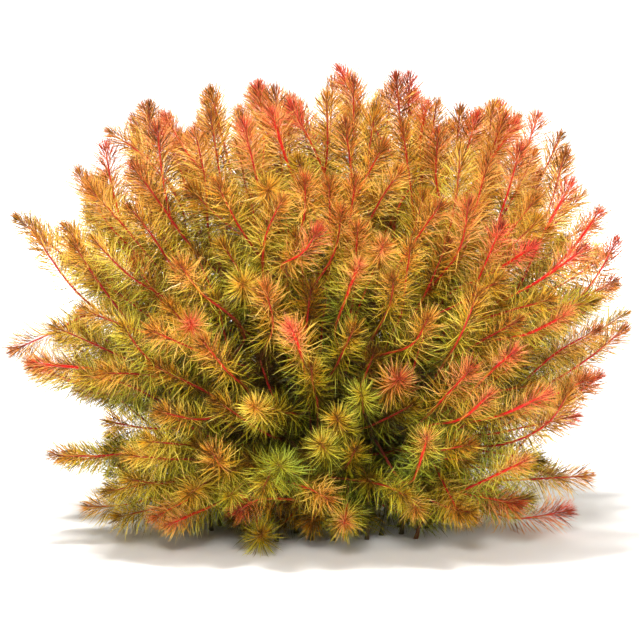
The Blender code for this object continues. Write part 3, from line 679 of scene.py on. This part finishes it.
def place_twig(twig, places, directions, stems):
    """Runs a twig from the nearest place on a stem behind it to its own tip."""
    heading = np.array((twig.tip - twig.tail).normalized())
    run = np.array(twig.tail) - places
    lead = run @ heading
    sideways = np.linalg.norm(run - lead[:, None] * heading, axis=1)
    cost = np.linalg.norm(run, axis=1) + sideways * SIDEWAYS_COST + EARLY_COST * (lead < EARLIEST_BRANCH)
    best = int(cost.argmin())
    foot = Vector(places[best])
    bend = foot + Vector(directions[best]) * (twig.tail - foot).length * TWIG_BRANCHING
    twig.stem = stems[best]
    twig.line = [foot, (bend + twig.tail) / 2] + [twig.leafy_point(share) for share in TWIG_LEAFY_SHARES]


twig_rng = np.random.default_rng(SEED + 1)
everything = shoots + [seen_shoot(record, twig_rng) for record in SMALL_SHOOTS]
for spacing, depths, leafiness, greatest_height in TWIG_ROUNDS:
    more = hidden_shoots(everything, twig_rng, spacing, spacing, depths, LOWEST_TWIG)
    more = [twig for twig in more if twig.tip.z < greatest_height]
    for twig in more:
        twig.leafiness = leafiness
    print(len(more), "more twigs")
    everything = everything + more
samples = LineSamples(shoots, STEM_PASS["count"])
bare = ~samples.leafy
carriers = samples.places()[0][bare], samples.directions()[bare], samples.stem[bare]
for twig in everything[len(shoots):]:
    place_twig(twig, *carriers)
for shoot in everything:
    if shoot.tint >= RED and shoot.tip.y < PLAIN_BEFORE and not shoot.seen:
        shoot.tint = ORANGE
print(len(everything), "shoots in all")

# %% [markdown]
# ## Smooth centre lines
#
# A line of a few points bends in corners. A curve through the same points gives the stems their easy
# sweep, and its length tells how far a leaf is from the tip. The youngest leaves reach beyond its end.

# %% Smooth lines
LINE_STEP = 0.0015
LEAST_STEPS = 8
CURVE_PARTS = 12
STEM_END_INSIDE_TIP = 0.0025


def rows_at(at, steps, rows):
    """Rows of three numbers that are known at the steps, worked out at other places along them."""
    return np.stack([np.interp(at, steps, rows[:, axis]) for axis in range(3)], axis=1)


def smooth_line(points):
    """Places, directions and distances from the foot along a curve through the points."""
    knots = np.array(points)
    knots = np.vstack([2 * knots[0] - knots[1], knots, 2 * knots[-1] - knots[-2]])
    t = np.linspace(0, 1, CURVE_PARTS)[:-1, None]
    pieces = []
    for first, second, third, fourth in zip(knots, knots[1:], knots[2:], knots[3:]):
        chord = np.linalg.norm(third - second)
        before = max(np.linalg.norm(second - first), TINY)
        after = max(np.linalg.norm(fourth - third), TINY)
        leave = (third - second) / chord + (second - first) / before
        arrive = (fourth - third) / after + (third - second) / chord
        leave *= chord / max(np.linalg.norm(leave), TINY)
        arrive *= chord / max(np.linalg.norm(arrive), TINY)
        pieces.append(
            (2 * t**3 - 3 * t**2 + 1) * second + (t**3 - 2 * t**2 + t) * leave
            + (3 * t**2 - 2 * t**3) * third + (t**3 - t**2) * arrive
        )
    dense = np.vstack(pieces + [knots[-2:-1]])
    along = np.concatenate([[0], np.cumsum(np.linalg.norm(np.diff(dense, axis=0), axis=1))])
    reach = along[-1] - STEM_END_INSIDE_TIP
    steps = np.linspace(0, reach, max(int(reach / LINE_STEP), LEAST_STEPS))
    places = rows_at(steps, along, dense)
    return places, unit(np.gradient(places, axis=0)), steps


for shoot in everything:
    shoot.places, shoot.directions, shoot.steps = smooth_line(shoot.line)
print("stems and shoots together are", round(sum(shoot.steps[-1] for shoot in everything), 1), "m long")

# %% [markdown]
# ## One needle leaf
#
# A needle leaf is a narrow strip that comes to a point at both ends. It is modelled flat and one unit
# long from a grid: each cross line gets its place and width, and the two ends are merged into points.
# Leaves in the tuft and deep in the bush get a plainer strip with one cross line less.

# %% Needle leaf
# Each cross line's place along the leaf, and its share of the full width
FINE_LEAF = ((0.0, 0.0), (0.30, 1.0), (0.72, 0.8), (1.0, 0.0))
PLAIN_LEAF = ((0.0, 0.0), (0.42, 1.0), (1.0, 0.0))
MERGE_DISTANCE = 0.001


def model_needle_leaf(cross_lines):
    """Corners and faces of the strip. x is across it, from -0.5 to 0.5, and y along it, from 0 to 1."""
    bpy.ops.mesh.primitive_grid_add(x_subdivisions=1, y_subdivisions=len(cross_lines) - 1, size=1.0)
    leaf = bpy.context.active_object
    for corner, (place, width) in zip(leaf.data.vertices, np.repeat(cross_lines, 2, axis=0)):
        corner.co = (corner.co.x * width, place, 0)
    bpy.ops.object.mode_set(mode="EDIT")
    bpy.ops.mesh.select_all(action="SELECT")
    bpy.ops.mesh.remove_doubles(threshold=MERGE_DISTANCE)
    bpy.ops.object.mode_set(mode="OBJECT")
    corners = np.array([corner.co for corner in leaf.data.vertices])
    faces = [list(face.vertices) for face in leaf.data.polygons]
    bpy.data.objects.remove(leaf)
    return corners, faces


leaf_kinds = [model_needle_leaf(cross_lines) for cross_lines in (FINE_LEAF, PLAIN_LEAF)]
for corners, faces in leaf_kinds:
    print("needle leaf with", len(corners), "corners and", len(faces), "faces")

# %% [markdown]
# ## How leaves change down a shoot
#
# At the tip the leaves are short, stand close to the stem and hide it in a tuft. Further down they are
# longer, open out, and at last curve back. Each row here gives one of those qualities at nine ages, and
# an age is a distance from the tip.

# %% Leaf rules
FULL_LEAF = 0.0136
LEAF_WIDTH = 0.00033
TUFT_INSIDE_TIP = 0.0003
AGES = (0.0, 0.003, 0.007, 0.012, 0.020, 0.030, 0.045, 0.066, 0.110)
LENGTH_AT = (0.44, 0.74, 0.93, 1.0, 1.0, 1.0, 1.0, 0.95, 0.80)
ANGLE_AT = np.radians([13, 33, 45, 51, 56, 62, 69, 78, 90])
BEND_AT = np.radians([0, -4, -8, -8, -2, 12, 30, 44, 50])
SPACING_AT = (0.0006, 0.0007, 0.0010, 0.0014, 0.0018, 0.0021, 0.0025, 0.0033, 0.0050)
LEAVES_AT = (9, 11, 12, 12, 13, 13, 13, 11, 8)


def by_age(age, row):
    """One of the rows above, read at any distance from the tip."""
    return np.interp(age, AGES, row)


def whorl_ages(reach):
    """Distances from the tip at which a shoot of this length carries whorls."""
    ages = [TUFT_INSIDE_TIP]
    while ages[-1] < reach:
        ages.append(ages[-1] + float(by_age(ages[-1], SPACING_AT)))
    return np.array(ages[:-1])


print("whorls on a full shoot:", len(whorl_ages(LEAFY_LENGTH)))

# %% [markdown]
# ## Leaf colours
#
# Each leaf's colour is a place on one small map: across it runs the warmth, from green through gold to pink,
# and up it runs the brightness. A leaf covers a narrow strip from its darker, redder foot to its bright tip,
# which its age, its height and its depth in the bush all move; the foot's darkness is partly its own colour
# and partly painted shade, and the brightness holds painted shade deep in the bush and low in the middle.
# Stems lie at the map's right.

# %% Leaf colours
LEAF_MAP_WIDTH = 0.85
STEM_MAP_LEFT = 0.88
STEM_MAP_WIDTH = 0.10
MAP_STRIP_HALF_WIDTH = 0.006
TINTS = (0.0, YELLOW, GOLD, ORANGE, RUST, RED, PINK)
LEAF_WARMTHS = (0.18, 0.22, 0.29, 0.37, 0.48, 0.37, 0.41)

# Distances from the tip, heights and distances from the middle over which an effect fades, in metres
BUD_AGE, YOUNG_AGE, GLOW_AGE, OLD_FROM, OLD_RUN = 0.0052, 0.009, 0.022, 0.010, 0.036
LOW, LOW_ACCENT, LOW_SHADE_HEIGHT, LOW_MIDDLE = 0.19, 0.15, 0.13, 0.11
TOP_FROM, TOP_RUN, MIDDLE_RUN = 0.09, 0.09, 0.06
# Tints from which a shoot has a red core, and depths in the bush between which painted shade fades
ACCENT_FROM, ACCENT_RUN = 0.75, 0.12
SHADED_SHARES = (0.32, 0.86)
SEEN_LOW_SHARE = 0.3
MIDDLE_FULLNESS = 1.6
# What moves the warmth
OLD_COOLING, OLD_COOLING_BY_TINT = 0.05, 0.18
NEW_WARMING, NEW_WARMING_BY_TINT = 0.02, 0.12
LOW_COOLING, SHADED_COOLING, ACCENT_COOLING, TOP_WARMING = 0.10, 0.05, 0.20, 0.055
FOOT_WARMING, YOUNG_WARMING, GLOW_WARMING = 0.12, 0.16, 0.46
TIP_COOLING, BUD_WARMING = 0.05, 0.14
SHOOT_WARMTH_SPREAD, LEAF_WARMTH_SPREAD = 0.055, 0.04
# What moves the brightness, the leaf's own tone and painted shade alike
BRIGHTNESS, SPARSE_TWIG_SHADE, OLD_LIGHT = 0.98, 0.10, 0.06
SHOOT_SPREAD, LEAF_SPREAD, LEAF_SHADOW_SHARE, LEAF_SHADOW_STEP = 0.07, 0.10, 0.42, 0.60
DEPTH_SHADE, LOW_DEPTH_SHADE, MIDDLE_SHADE = 0.56, 0.94, 0.30
FOOT_SHADE_AND_TONE, YOUNG_FOOT_DIM, GLOW_LIGHT = 0.30, 0.40, 0.52
TIP_LIGHT, BUD_DIM, ACCENT_BUD_SHARE = 0.10, 0.32, 0.6


def bell(distance, width):
    """1 at no distance, and next to nothing at twice the width."""
    return np.exp(-((distance / width) ** 2))


def rising(value, start, run):
    """0 up to the start and 1 past the run."""
    return np.clip((value - start) / run, 0, 1)


def falling(value, run):
    """1 at nothing and 0 past the run."""
    return np.clip(1 - value / run, 0, 1)


def leaf_tones(shoot, age, place, rng):
    """Warmth and brightness at the foot and at the tip of leaves. The brightness holds painted shade."""
    height = place[:, 2]
    bud, young, old = bell(age, BUD_AGE), bell(age, YOUNG_AGE), rising(age, OLD_FROM, OLD_RUN)
    low = falling(height, LOW) * (SEEN_LOW_SHARE if shoot.seen else 1.0)
    # How deep a leaf lies in the bush's form sets its painted shade, which darkens the bush's heart
    share = dome_level(*place.T) ** (1 / DOME_SQUARENESS)
    shaded = np.clip((SHADED_SHARES[1] - share) / (SHADED_SHARES[1] - SHADED_SHARES[0]), 0, 1)
    accent = rising(shoot.tint, ACCENT_FROM, ACCENT_RUN)
    glow = accent * bell(age, GLOW_AGE)

    cooling = OLD_COOLING + OLD_COOLING_BY_TINT * shoot.tint
    warming = NEW_WARMING + NEW_WARMING_BY_TINT * shoot.tint
    warmth = np.interp(shoot.tint, TINTS, LEAF_WARMTHS) + rng.normal(0, SHOOT_WARMTH_SPREAD)
    warmth = warmth - cooling * old - LOW_COOLING * low - SHADED_COOLING * shaded
    warmth += warming * (1 - old) + rng.normal(0, LEAF_WARMTH_SPREAD, len(age))
    warmth += TOP_WARMING * rising(height, TOP_FROM, TOP_RUN)
    warmth -= ACCENT_COOLING * accent * falling(height, LOW_ACCENT)
    foot_warmth = warmth + FOOT_WARMING + YOUNG_WARMING * young + GLOW_WARMING * glow
    tip_warmth = warmth - TIP_COOLING + BUD_WARMING * bud

    # A random share of leaves gets painted shade, as if in the shadow of others
    leaf_shadow = LEAF_SHADOW_STEP * (rng.random(len(age)) < LEAF_SHADOW_SHARE)
    # Painted shade deep in the bush, stronger low down
    depth_shade = DEPTH_SHADE + LOW_DEPTH_SHADE * falling(height, LOW_SHADE_HEIGHT)
    # Sparse twigs deep inside the bush get painted shade
    bright = BRIGHTNESS + rng.normal(0, SHOOT_SPREAD) - SPARSE_TWIG_SHADE * (shoot.leafiness < 1)
    bright = bright + rng.normal(0, LEAF_SPREAD, len(age))
    bright += OLD_LIGHT * old - depth_shade * shaded - leaf_shadow
    # Hidden shoots low down near the middle get painted shade
    if not shoot.seen:
        middle = np.clip(MIDDLE_FULLNESS - np.abs(place[:, 0]) / MIDDLE_RUN, 0, 1)
        bright -= MIDDLE_SHADE * middle * falling(height, LOW_MIDDLE)
    # The foot's darkening is partly the leaf's own colour and partly painted shade
    foot_bright = bright - (FOOT_SHADE_AND_TONE + YOUNG_FOOT_DIM * young - GLOW_LIGHT * glow)
    tip_bright = bright + TIP_LIGHT + OLD_LIGHT * old - BUD_DIM * bud * (1 - ACCENT_BUD_SHARE * accent)
    return np.stack([foot_warmth, foot_bright], axis=1), np.stack([tip_warmth, tip_bright], axis=1)


print("leaves use", LEAF_MAP_WIDTH, "of the map's width")

# %% [markdown]
# ## Whorls on a shoot
#
# At each place along the stem a ring of leaves grows. Every leaf follows an arc that bends back with age,
# and is turned about its own length by chance, so some show their face and some their edge.

# %% Whorls
BARE_END = 0.004
WHORL_TURNS = (0.2, 0.5)
TURN_WOBBLE = 0.16
AGE_WOBBLE = 0.0004
ANGLE_WOBBLE = math.radians(6)
LEAF_BEND_WOBBLE = math.radians(20)
LEAST_BEND = 0.02
VIGOUR = (0.88, 1.08)
LEAF_LENGTHS = (0.85, 1.08)
LEAF_WIDTHS = (0.85, 1.15)
WIDTH_OF_SHORT = 0.7
OLD_SAG, SAG_FROM, SAG_RUN = 0.12, 0.02, 0.05
SAG_SHARES = (0.3, 1.2)
SIDE_SWAY, CALM_AGE, LEAST_SWAY = 0.18, 0.020, 0.3
TONE_CURVE, ACCENT_CURVE, ACCENT_CURVE_FROM = 1.9, 2.2, 0.8
TONE_LIMITS = (0.02, 0.98)
FINE_AGES = (0.006, 0.034)
FLOOR_GAP = 0.0003
FLOOR_PUSH = 1.15
STEEP = 0.9


def side_directions(directions):
    """Two directions square to each of the given ones."""
    level = np.where(np.abs(directions[:, 2:3]) < STEEP, [[0.0, 0.0, 1.0]], [[1.0, 0.0, 0.0]])
    first = unit(np.cross(directions, level))
    return first, np.cross(directions, first)


def leaf_seats(shoot, rng):
    """Where the leaves of a shoot stand: age, place, direction of the stem and way out for each."""
    reach = shoot.steps[-1]
    ages = whorl_ages(reach - BARE_END)
    wanted = shoot.leafiness * by_age(ages, LEAVES_AT)
    counts = np.round(wanted + rng.uniform(-0.5, 0.5, len(ages))).astype(int)
    turns = np.cumsum(rng.uniform(*WHORL_TURNS, len(ages)))
    rings = [start + np.arange(count) * 2 * math.pi / count for start, count in zip(turns, counts)]
    turn = np.concatenate(rings)
    turn += rng.normal(0, TURN_WOBBLE, len(turn))
    age = np.repeat(ages, counts) + rng.uniform(-AGE_WOBBLE, AGE_WOBBLE, len(turn))
    along = np.clip(reach - age, 0, reach)
    stem = unit(rows_at(along, shoot.steps, shoot.directions))
    first, second = side_directions(stem)
    out = first * np.cos(turn)[:, None] + second * np.sin(turn)[:, None]
    return age, rows_at(along, shoot.steps, shoot.places), stem, out


def leaf_arcs(shoot, rng):
    """The arc that each leaf of a shoot follows, with its width, twist and colours."""
    age, place, stem, out = leaf_seats(shoot, rng)
    count = len(age)
    arcs = {"age": age, "place": place, "stem": stem, "out": out}
    vigour = rng.uniform(*VIGOUR)
    arcs["length"] = FULL_LEAF * vigour * by_age(age, LENGTH_AT) * rng.uniform(*LEAF_LENGTHS, count)
    arcs["angle"] = by_age(age, ANGLE_AT) + rng.normal(0, ANGLE_WOBBLE, count)
    bend = by_age(age, BEND_AT) + rng.normal(0, LEAF_BEND_WOBBLE, count)
    arcs["bend"] = np.where(np.abs(bend) < LEAST_BEND, LEAST_BEND, bend)
    arcs["sag"] = OLD_SAG * rising(age, SAG_FROM, SAG_RUN) * rng.uniform(*SAG_SHARES, count)
    arcs["sway"] = rng.normal(0, SIDE_SWAY, count) * np.clip(age / CALM_AGE, LEAST_SWAY, 1)
    arcs["twist"] = rng.uniform(0, math.pi, count)
    width = WIDTH_OF_SHORT + (1 - WIDTH_OF_SHORT) * arcs["length"] / FULL_LEAF
    arcs["width"] = LEAF_WIDTH * width * rng.uniform(*LEAF_WIDTHS, count)
    arcs["tone curve"] = np.full(count, ACCENT_CURVE if shoot.tint > ACCENT_CURVE_FROM else TONE_CURVE)
    arcs["foot tone"], arcs["tip tone"] = leaf_tones(shoot, age, place, rng)
    return arcs


def lay_leaves(kind, arcs):
    """Bends copies of one kind of leaf along their arcs. Gives corner places and map places."""
    across, t = kind[0][:, 0], kind[0][:, 1][None, :]
    stem, out, length = arcs["stem"], arcs["out"], arcs["length"][:, None]
    angle, bend, twist = (arcs[name][:, None] for name in ("angle", "bend", "twist"))
    forward = (np.sin(angle + bend * t) - np.sin(angle)) / bend
    outward = (np.cos(angle) - np.cos(angle + bend * t)) / bend
    run = forward[:, :, None] * stem[:, None] + outward[:, :, None] * out[:, None]
    corners = arcs["place"][:, None] + length[:, :, None] * run
    corners[:, :, 2] -= length * arcs["sag"][:, None] * t**2
    corners += (length * arcs["sway"][:, None] * t**2)[:, :, None] * np.cross(stem, out)[:, None]
    middle = angle + bend / 2
    face_on = np.cos(middle) * out - np.sin(middle) * stem
    side = np.cos(twist) * np.cross(stem, out) + np.sin(twist) * face_on
    corners += (across[None, :] * arcs["width"][:, None])[:, :, None] * side[:, None]
    corners[:, :, 2] += FLOOR_PUSH * np.maximum(FLOOR_GAP - corners[:, :, 2], 0)
    footed = ((1 - t) ** arcs["tone curve"][:, None])[:, :, None]
    tone = arcs["foot tone"][:, None] * footed + arcs["tip tone"][:, None] * (1 - footed)
    tone = np.clip(tone, *TONE_LIMITS) * (LEAF_MAP_WIDTH, 1.0)
    tone[:, :, 0] += np.sign(across)[None, :] * MAP_STRIP_HALF_WIDTH
    return corners, tone


def grow_leaves(shoot, rng):
    """All leaves of one shoot: finely bent ones, but plain ones in the tuft and far down the stem."""
    arcs = leaf_arcs(shoot, rng)
    fine = (arcs["age"] > FINE_AGES[0]) & (arcs["age"] < FINE_AGES[1]) & (shoot.leafiness == 1.0)
    return [lay_leaves(kind, {name: value[chosen] for name, value in arcs.items()})
            for kind, chosen in zip(leaf_kinds, (fine, ~fine))]


leaf_rng = np.random.default_rng(SEED + 2)
for shoot in everything:
    shoot.leaves = grow_leaves(shoot, leaf_rng)
for kind, (_, faces) in enumerate(leaf_kinds):
    total = sum(len(shoot.leaves[kind][0]) for shoot in everything)
    print(total, "leaves with", sum(len(face) - 2 for face in faces), "triangles each")

# %% [markdown]
# ## Stems
#
# A stem is a thin round rod that narrows towards its tip, and swells under the tuft where a shoot has a
# red core. It is closed at both ends, and a rooted stem stands on its flat cut.

# %% Stem tubes
STEM_SIDES = 5
FOOT_RADIUS = 0.0013
CENTRAL_FOOT_RADIUS = 0.0022
STEM_AT_AGES = (0.0, 0.006, 0.030, 0.090)
STEM_THICKNESS = (0.00020, 0.00038, 0.00052, 0.00072)
RING_EVERY = 4
CORE_FROM_TINT = RED - 0.02
CORE_SWELLING = 0.7
CORE_AGE = 0.014
FLARE_HEIGHT = 0.012
FLARE_CURVE = 1.5
LEAST_UPRIGHT = 0.2
STEM_TINT_LIMITS = (0.05, 0.95)
STEM_COLOUR_RUN = 0.14
STEM_STRIP_RISE = 0.004


def stem_tube(shoot):
    """Corner places, faces and map places of one stem, closed at both ends."""
    keep = sorted(set(range(0, len(shoot.steps), RING_EVERY)) | {len(shoot.steps) - 1})
    places, directions, steps = shoot.places[keep], shoot.directions[keep], shoot.steps[keep]
    count = len(keep)
    age = steps[-1] - steps
    radius = np.interp(age, STEM_AT_AGES, STEM_THICKNESS)
    if shoot.tint > CORE_FROM_TINT:
        radius *= 1 + CORE_SWELLING * bell(age - CORE_AGE, CORE_AGE)
    if shoot.leads:
        foot = CENTRAL_FOOT_RADIUS if shoot is central else FOOT_RADIUS
        radius = np.maximum(radius, foot * falling(steps, FLARE_HEIGHT) ** FLARE_CURVE)
    first, second = side_directions(directions)
    turn = np.arange(STEM_SIDES) * 2 * math.pi / STEM_SIDES
    ring = first[:, None] * np.cos(turn)[None, :, None] + second[:, None] * np.sin(turn)[None, :, None]
    corners = places[:, None] + radius[:, None, None] * ring
    if shoot.leads:
        corners[0] -= (corners[0, :, 2] / max(directions[0][2], LEAST_UPRIGHT))[:, None] * directions[0]
    corners[:, :, 2] = np.maximum(corners[:, :, 2], FLOOR_GAP)
    if shoot.leads:
        corners[0, :, 2] = 0
    around = np.arange(STEM_SIDES)
    beside = (around + 1) % STEM_SIDES
    faces = []
    for low in range(0, (count - 1) * STEM_SIDES, STEM_SIDES):
        high = low + STEM_SIDES
        faces += [[low + a, low + b, high + b, high + a] for a, b in zip(around, beside)]
    faces += [list(around[::-1]), list((count - 1) * STEM_SIDES + around)]
    left = STEM_MAP_LEFT + STEM_MAP_WIDTH * np.clip(shoot.tint, *STEM_TINT_LIMITS)
    chart = np.empty((count, STEM_SIDES, 2))
    chart[:, :, 0] = left + MAP_STRIP_HALF_WIDTH * np.cos(turn)
    chart[:, :, 1] = np.clip(1 - age / STEM_COLOUR_RUN, *TONE_LIMITS)[:, None]
    chart[:, :, 1] += STEM_STRIP_RISE * np.sin(turn)
    return corners.reshape(-1, 3), faces, chart.reshape(-1, 2)


for shoot in everything:
    shoot.tube = stem_tube(shoot)
print("stems have", sum(len(shoot.tube[1]) for shoot in everything), "faces")

# %% [markdown]
# ## Leaf and stem materials
#
# Needle leaves are thin, so part of their shader is translucent. The warmth and brightness come from the
# map, through two ramps that are multiplied. The light that comes through takes one colour for each
# family of leaves, so there are three leaf materials.

# %% Materials
BAKE_MAP = "OFBake"
WARMTH_STOPS = [
    (0.00, (0.14, 0.24, 0.010)), (0.14, (0.36, 0.38, 0.010)), (0.26, (0.62, 0.50, 0.012)),
    (0.38, (0.80, 0.47, 0.012)), (0.50, (0.82, 0.33, 0.02)), (0.62, (0.70, 0.18, 0.03)),
    (0.80, (0.86, 0.065, 0.035)), (1.00, (0.90, 0.030, 0.045)),
]
BRIGHTNESS_STOPS = [
    (0.00, (0.02, 0.014, 0.008)), (0.25, (0.14, 0.078, 0.035)), (0.50, (0.53, 0.42, 0.26)),
    (0.78, (1.0, 1.0, 1.0)),
]
PALE_STOPS = [
    (0.00, (0.44, 0.54, 0.05)), (0.18, (0.84, 0.76, 0.09)), (0.34, (0.92, 0.66, 0.15)),
    (0.60, (0.92, 0.47, 0.20)), (0.80, (0.94, 0.22, 0.13)), (1.00, (0.93, 0.11, 0.10)),
]
PALENESS_STOPS = [(0.0, (0.0, 0.0, 0.0)), (0.74, (0.0, 0.0, 0.0)), (1.0, (0.7, 0.7, 0.7))]
STEM_STOPS = [
    (0.00, (0.09, 0.06, 0.02)), (0.40, (0.18, 0.04, 0.02)), (0.60, (0.42, 0.022, 0.014)),
    (0.78, (0.88, 0.016, 0.018)), (0.95, (0.78, 0.03, 0.02)), (1.00, (0.30, 0.04, 0.02)),
]
STEM_TINTS = [
    (0.0, (0.36, 0.8, 0.7)), (0.5, (0.58, 0.9, 0.9)), (0.7, (0.94, 1.0, 1.0)), (1.0, (1.0, 1.0, 1.0)),
]
THROUGH_LIGHT = {
    "yellow leaf": (0.60, 0.52, 0.05), "orange leaf": (0.78, 0.44, 0.06), "red leaf": (0.85, 0.24, 0.12),
}
THROUGH_SHARE = 0.12
WARMTH_LIMITS = (0.36, 0.70)
# The roughness of something dark, and how much smoother it is where it is bright
LEAF_ROUGHNESS = (0.50, 0.15)
STEM_ROUGHNESS = (0.55, 0.2)
LEAF_SHEEN = 0.35


def map_place(shade):
    """The two coordinates of the map that leaves and stems are coloured from."""
    parted = shade.node("ShaderNodeSeparateXYZ", Vector=shade.node("ShaderNodeUVMap", {"uv_map": BAKE_MAP}))
    return parted, Shade(shade.tree, parted.socket.node.outputs["Y"])


def leaf_material(name, through):
    """Leaf skin coloured from the map, with some light of one colour coming through it."""
    material, shade = new_material(name)
    across, rise = map_place(shade)
    warmth = across * (1 / LEAF_MAP_WIDTH)
    body = warmth.ramp(WARMTH_STOPS).mixed(rise.ramp(BRIGHTNESS_STOPS), 1.0, "MULTIPLY")
    colour = body.mixed(warmth.ramp(PALE_STOPS), rise.ramp(PALENESS_STOPS))
    roughness = LEAF_ROUGHNESS[0] - rise * LEAF_ROUGHNESS[1]
    front = shade.node("ShaderNodeBsdfPrincipled", Base_Color=colour, Roughness=roughness,
                       Specular_IOR_Level=LEAF_SHEEN)
    behind = shade.node("ShaderNodeBsdfTranslucent", Color=(*through, 1))
    leaf = shade.node("ShaderNodeMixShader", i0=THROUGH_SHARE, i1=front, i2=behind)
    shade.node("ShaderNodeOutputMaterial", Surface=leaf)
    return material


def stem_material():
    """Stem skin coloured from the map's right side."""
    material, shade = new_material("red stem")
    across, rise = map_place(shade)
    tint = (across - STEM_MAP_LEFT) * (1 / STEM_MAP_WIDTH)
    colour = rise.ramp(STEM_STOPS).mixed(tint.ramp(STEM_TINTS), 1.0, "MULTIPLY")
    roughness = STEM_ROUGHNESS[0] - rise * STEM_ROUGHNESS[1]
    skin = shade.node("ShaderNodeBsdfPrincipled", Base_Color=colour, Roughness=roughness)
    shade.node("ShaderNodeOutputMaterial", Surface=skin)
    return material


leaf_materials = [leaf_material(name, through) for name, through in THROUGH_LIGHT.items()]
stem_finish = stem_material()
print(len(leaf_materials) + 1, "materials")

# %% [markdown]
# ## One piece for every rooted stem
#
# A rooted stem with all its side shoots and twigs grew as one, so it is one mesh. Its leaves and stem
# tubes are laid end to end in arrays.

# %% Pieces
def leaf_arrays(kind, leaves):
    """Corners, face corners, face sizes, map places and material numbers of leaves of one kind."""
    faces = leaf_kinds[kind][1]
    corners, chart = (np.concatenate([laid[item] for laid in leaves]) for item in (0, 1))
    base = np.arange(len(corners))[:, None] * corners.shape[1]
    loops = np.concatenate([base + np.array(face)[None, :] for face in faces], axis=1)
    sizes = np.tile([len(face) for face in faces], len(corners))
    colour = np.digitize(chart[:, :, 0].mean(1) / LEAF_MAP_WIDTH, WARMTH_LIMITS)
    finishes = np.repeat(colour, len(faces))
    return corners.reshape(-1, 3), loops.reshape(-1), sizes, chart.reshape(-1, 2), finishes


def tube_arrays(tube):
    """The same for one stem tube."""
    corners, faces, chart = tube
    sizes = np.array([len(face) for face in faces])
    return corners, np.concatenate(faces), sizes, chart, np.full(len(faces), len(leaf_materials))


def family_mesh(name, family):
    """One mesh of all the leaves and stem tubes of a family of shoots."""
    parts = [leaf_arrays(kind, [shoot.leaves[kind] for shoot in family]) for kind in range(len(leaf_kinds))]
    parts += [tube_arrays(shoot.tube) for shoot in family]
    starts = np.cumsum([0] + [len(part[0]) for part in parts])
    loops = np.concatenate([part[1] + start for part, start in zip(parts, starts)])
    corners, _, sizes, chart, finishes = (np.concatenate(rows) for rows in zip(*parts))
    mesh = bpy.data.meshes.new(name)
    mesh.vertices.add(len(corners))
    mesh.vertices.foreach_set("co", corners.astype(np.float32).ravel())
    mesh.loops.add(len(loops))
    mesh.loops.foreach_set("vertex_index", loops.astype(np.int32))
    mesh.polygons.add(len(sizes))
    mesh.polygons.foreach_set("loop_start", (np.cumsum(sizes) - sizes).astype(np.int32))
    mesh.update(calc_edges=True)
    mesh.uv_layers.new(name=BAKE_MAP).data.foreach_set("uv", chart[loops].astype(np.float32).ravel())
    for material in leaf_materials + [stem_finish]:
        mesh.materials.append(material)
    mesh.polygons.foreach_set("material_index", finishes.astype(np.int32))
    mesh.shade_smooth()
    mesh.validate()
    return mesh


triangle_counts = []
for stem, node in enumerate(nodes):
    name = node.replace("stem", "leafy_stem")
    piece = add_object(name, family_mesh(name, [shoot for shoot in everything if shoot.stem == stem]))
    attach(piece, "root")
    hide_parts(node)
    triangle_counts.append(sum(len(face.vertices) - 2 for face in piece.data.polygons))
print("triangles:", sum(triangle_counts), "in all,", max(triangle_counts), "in the largest piece")
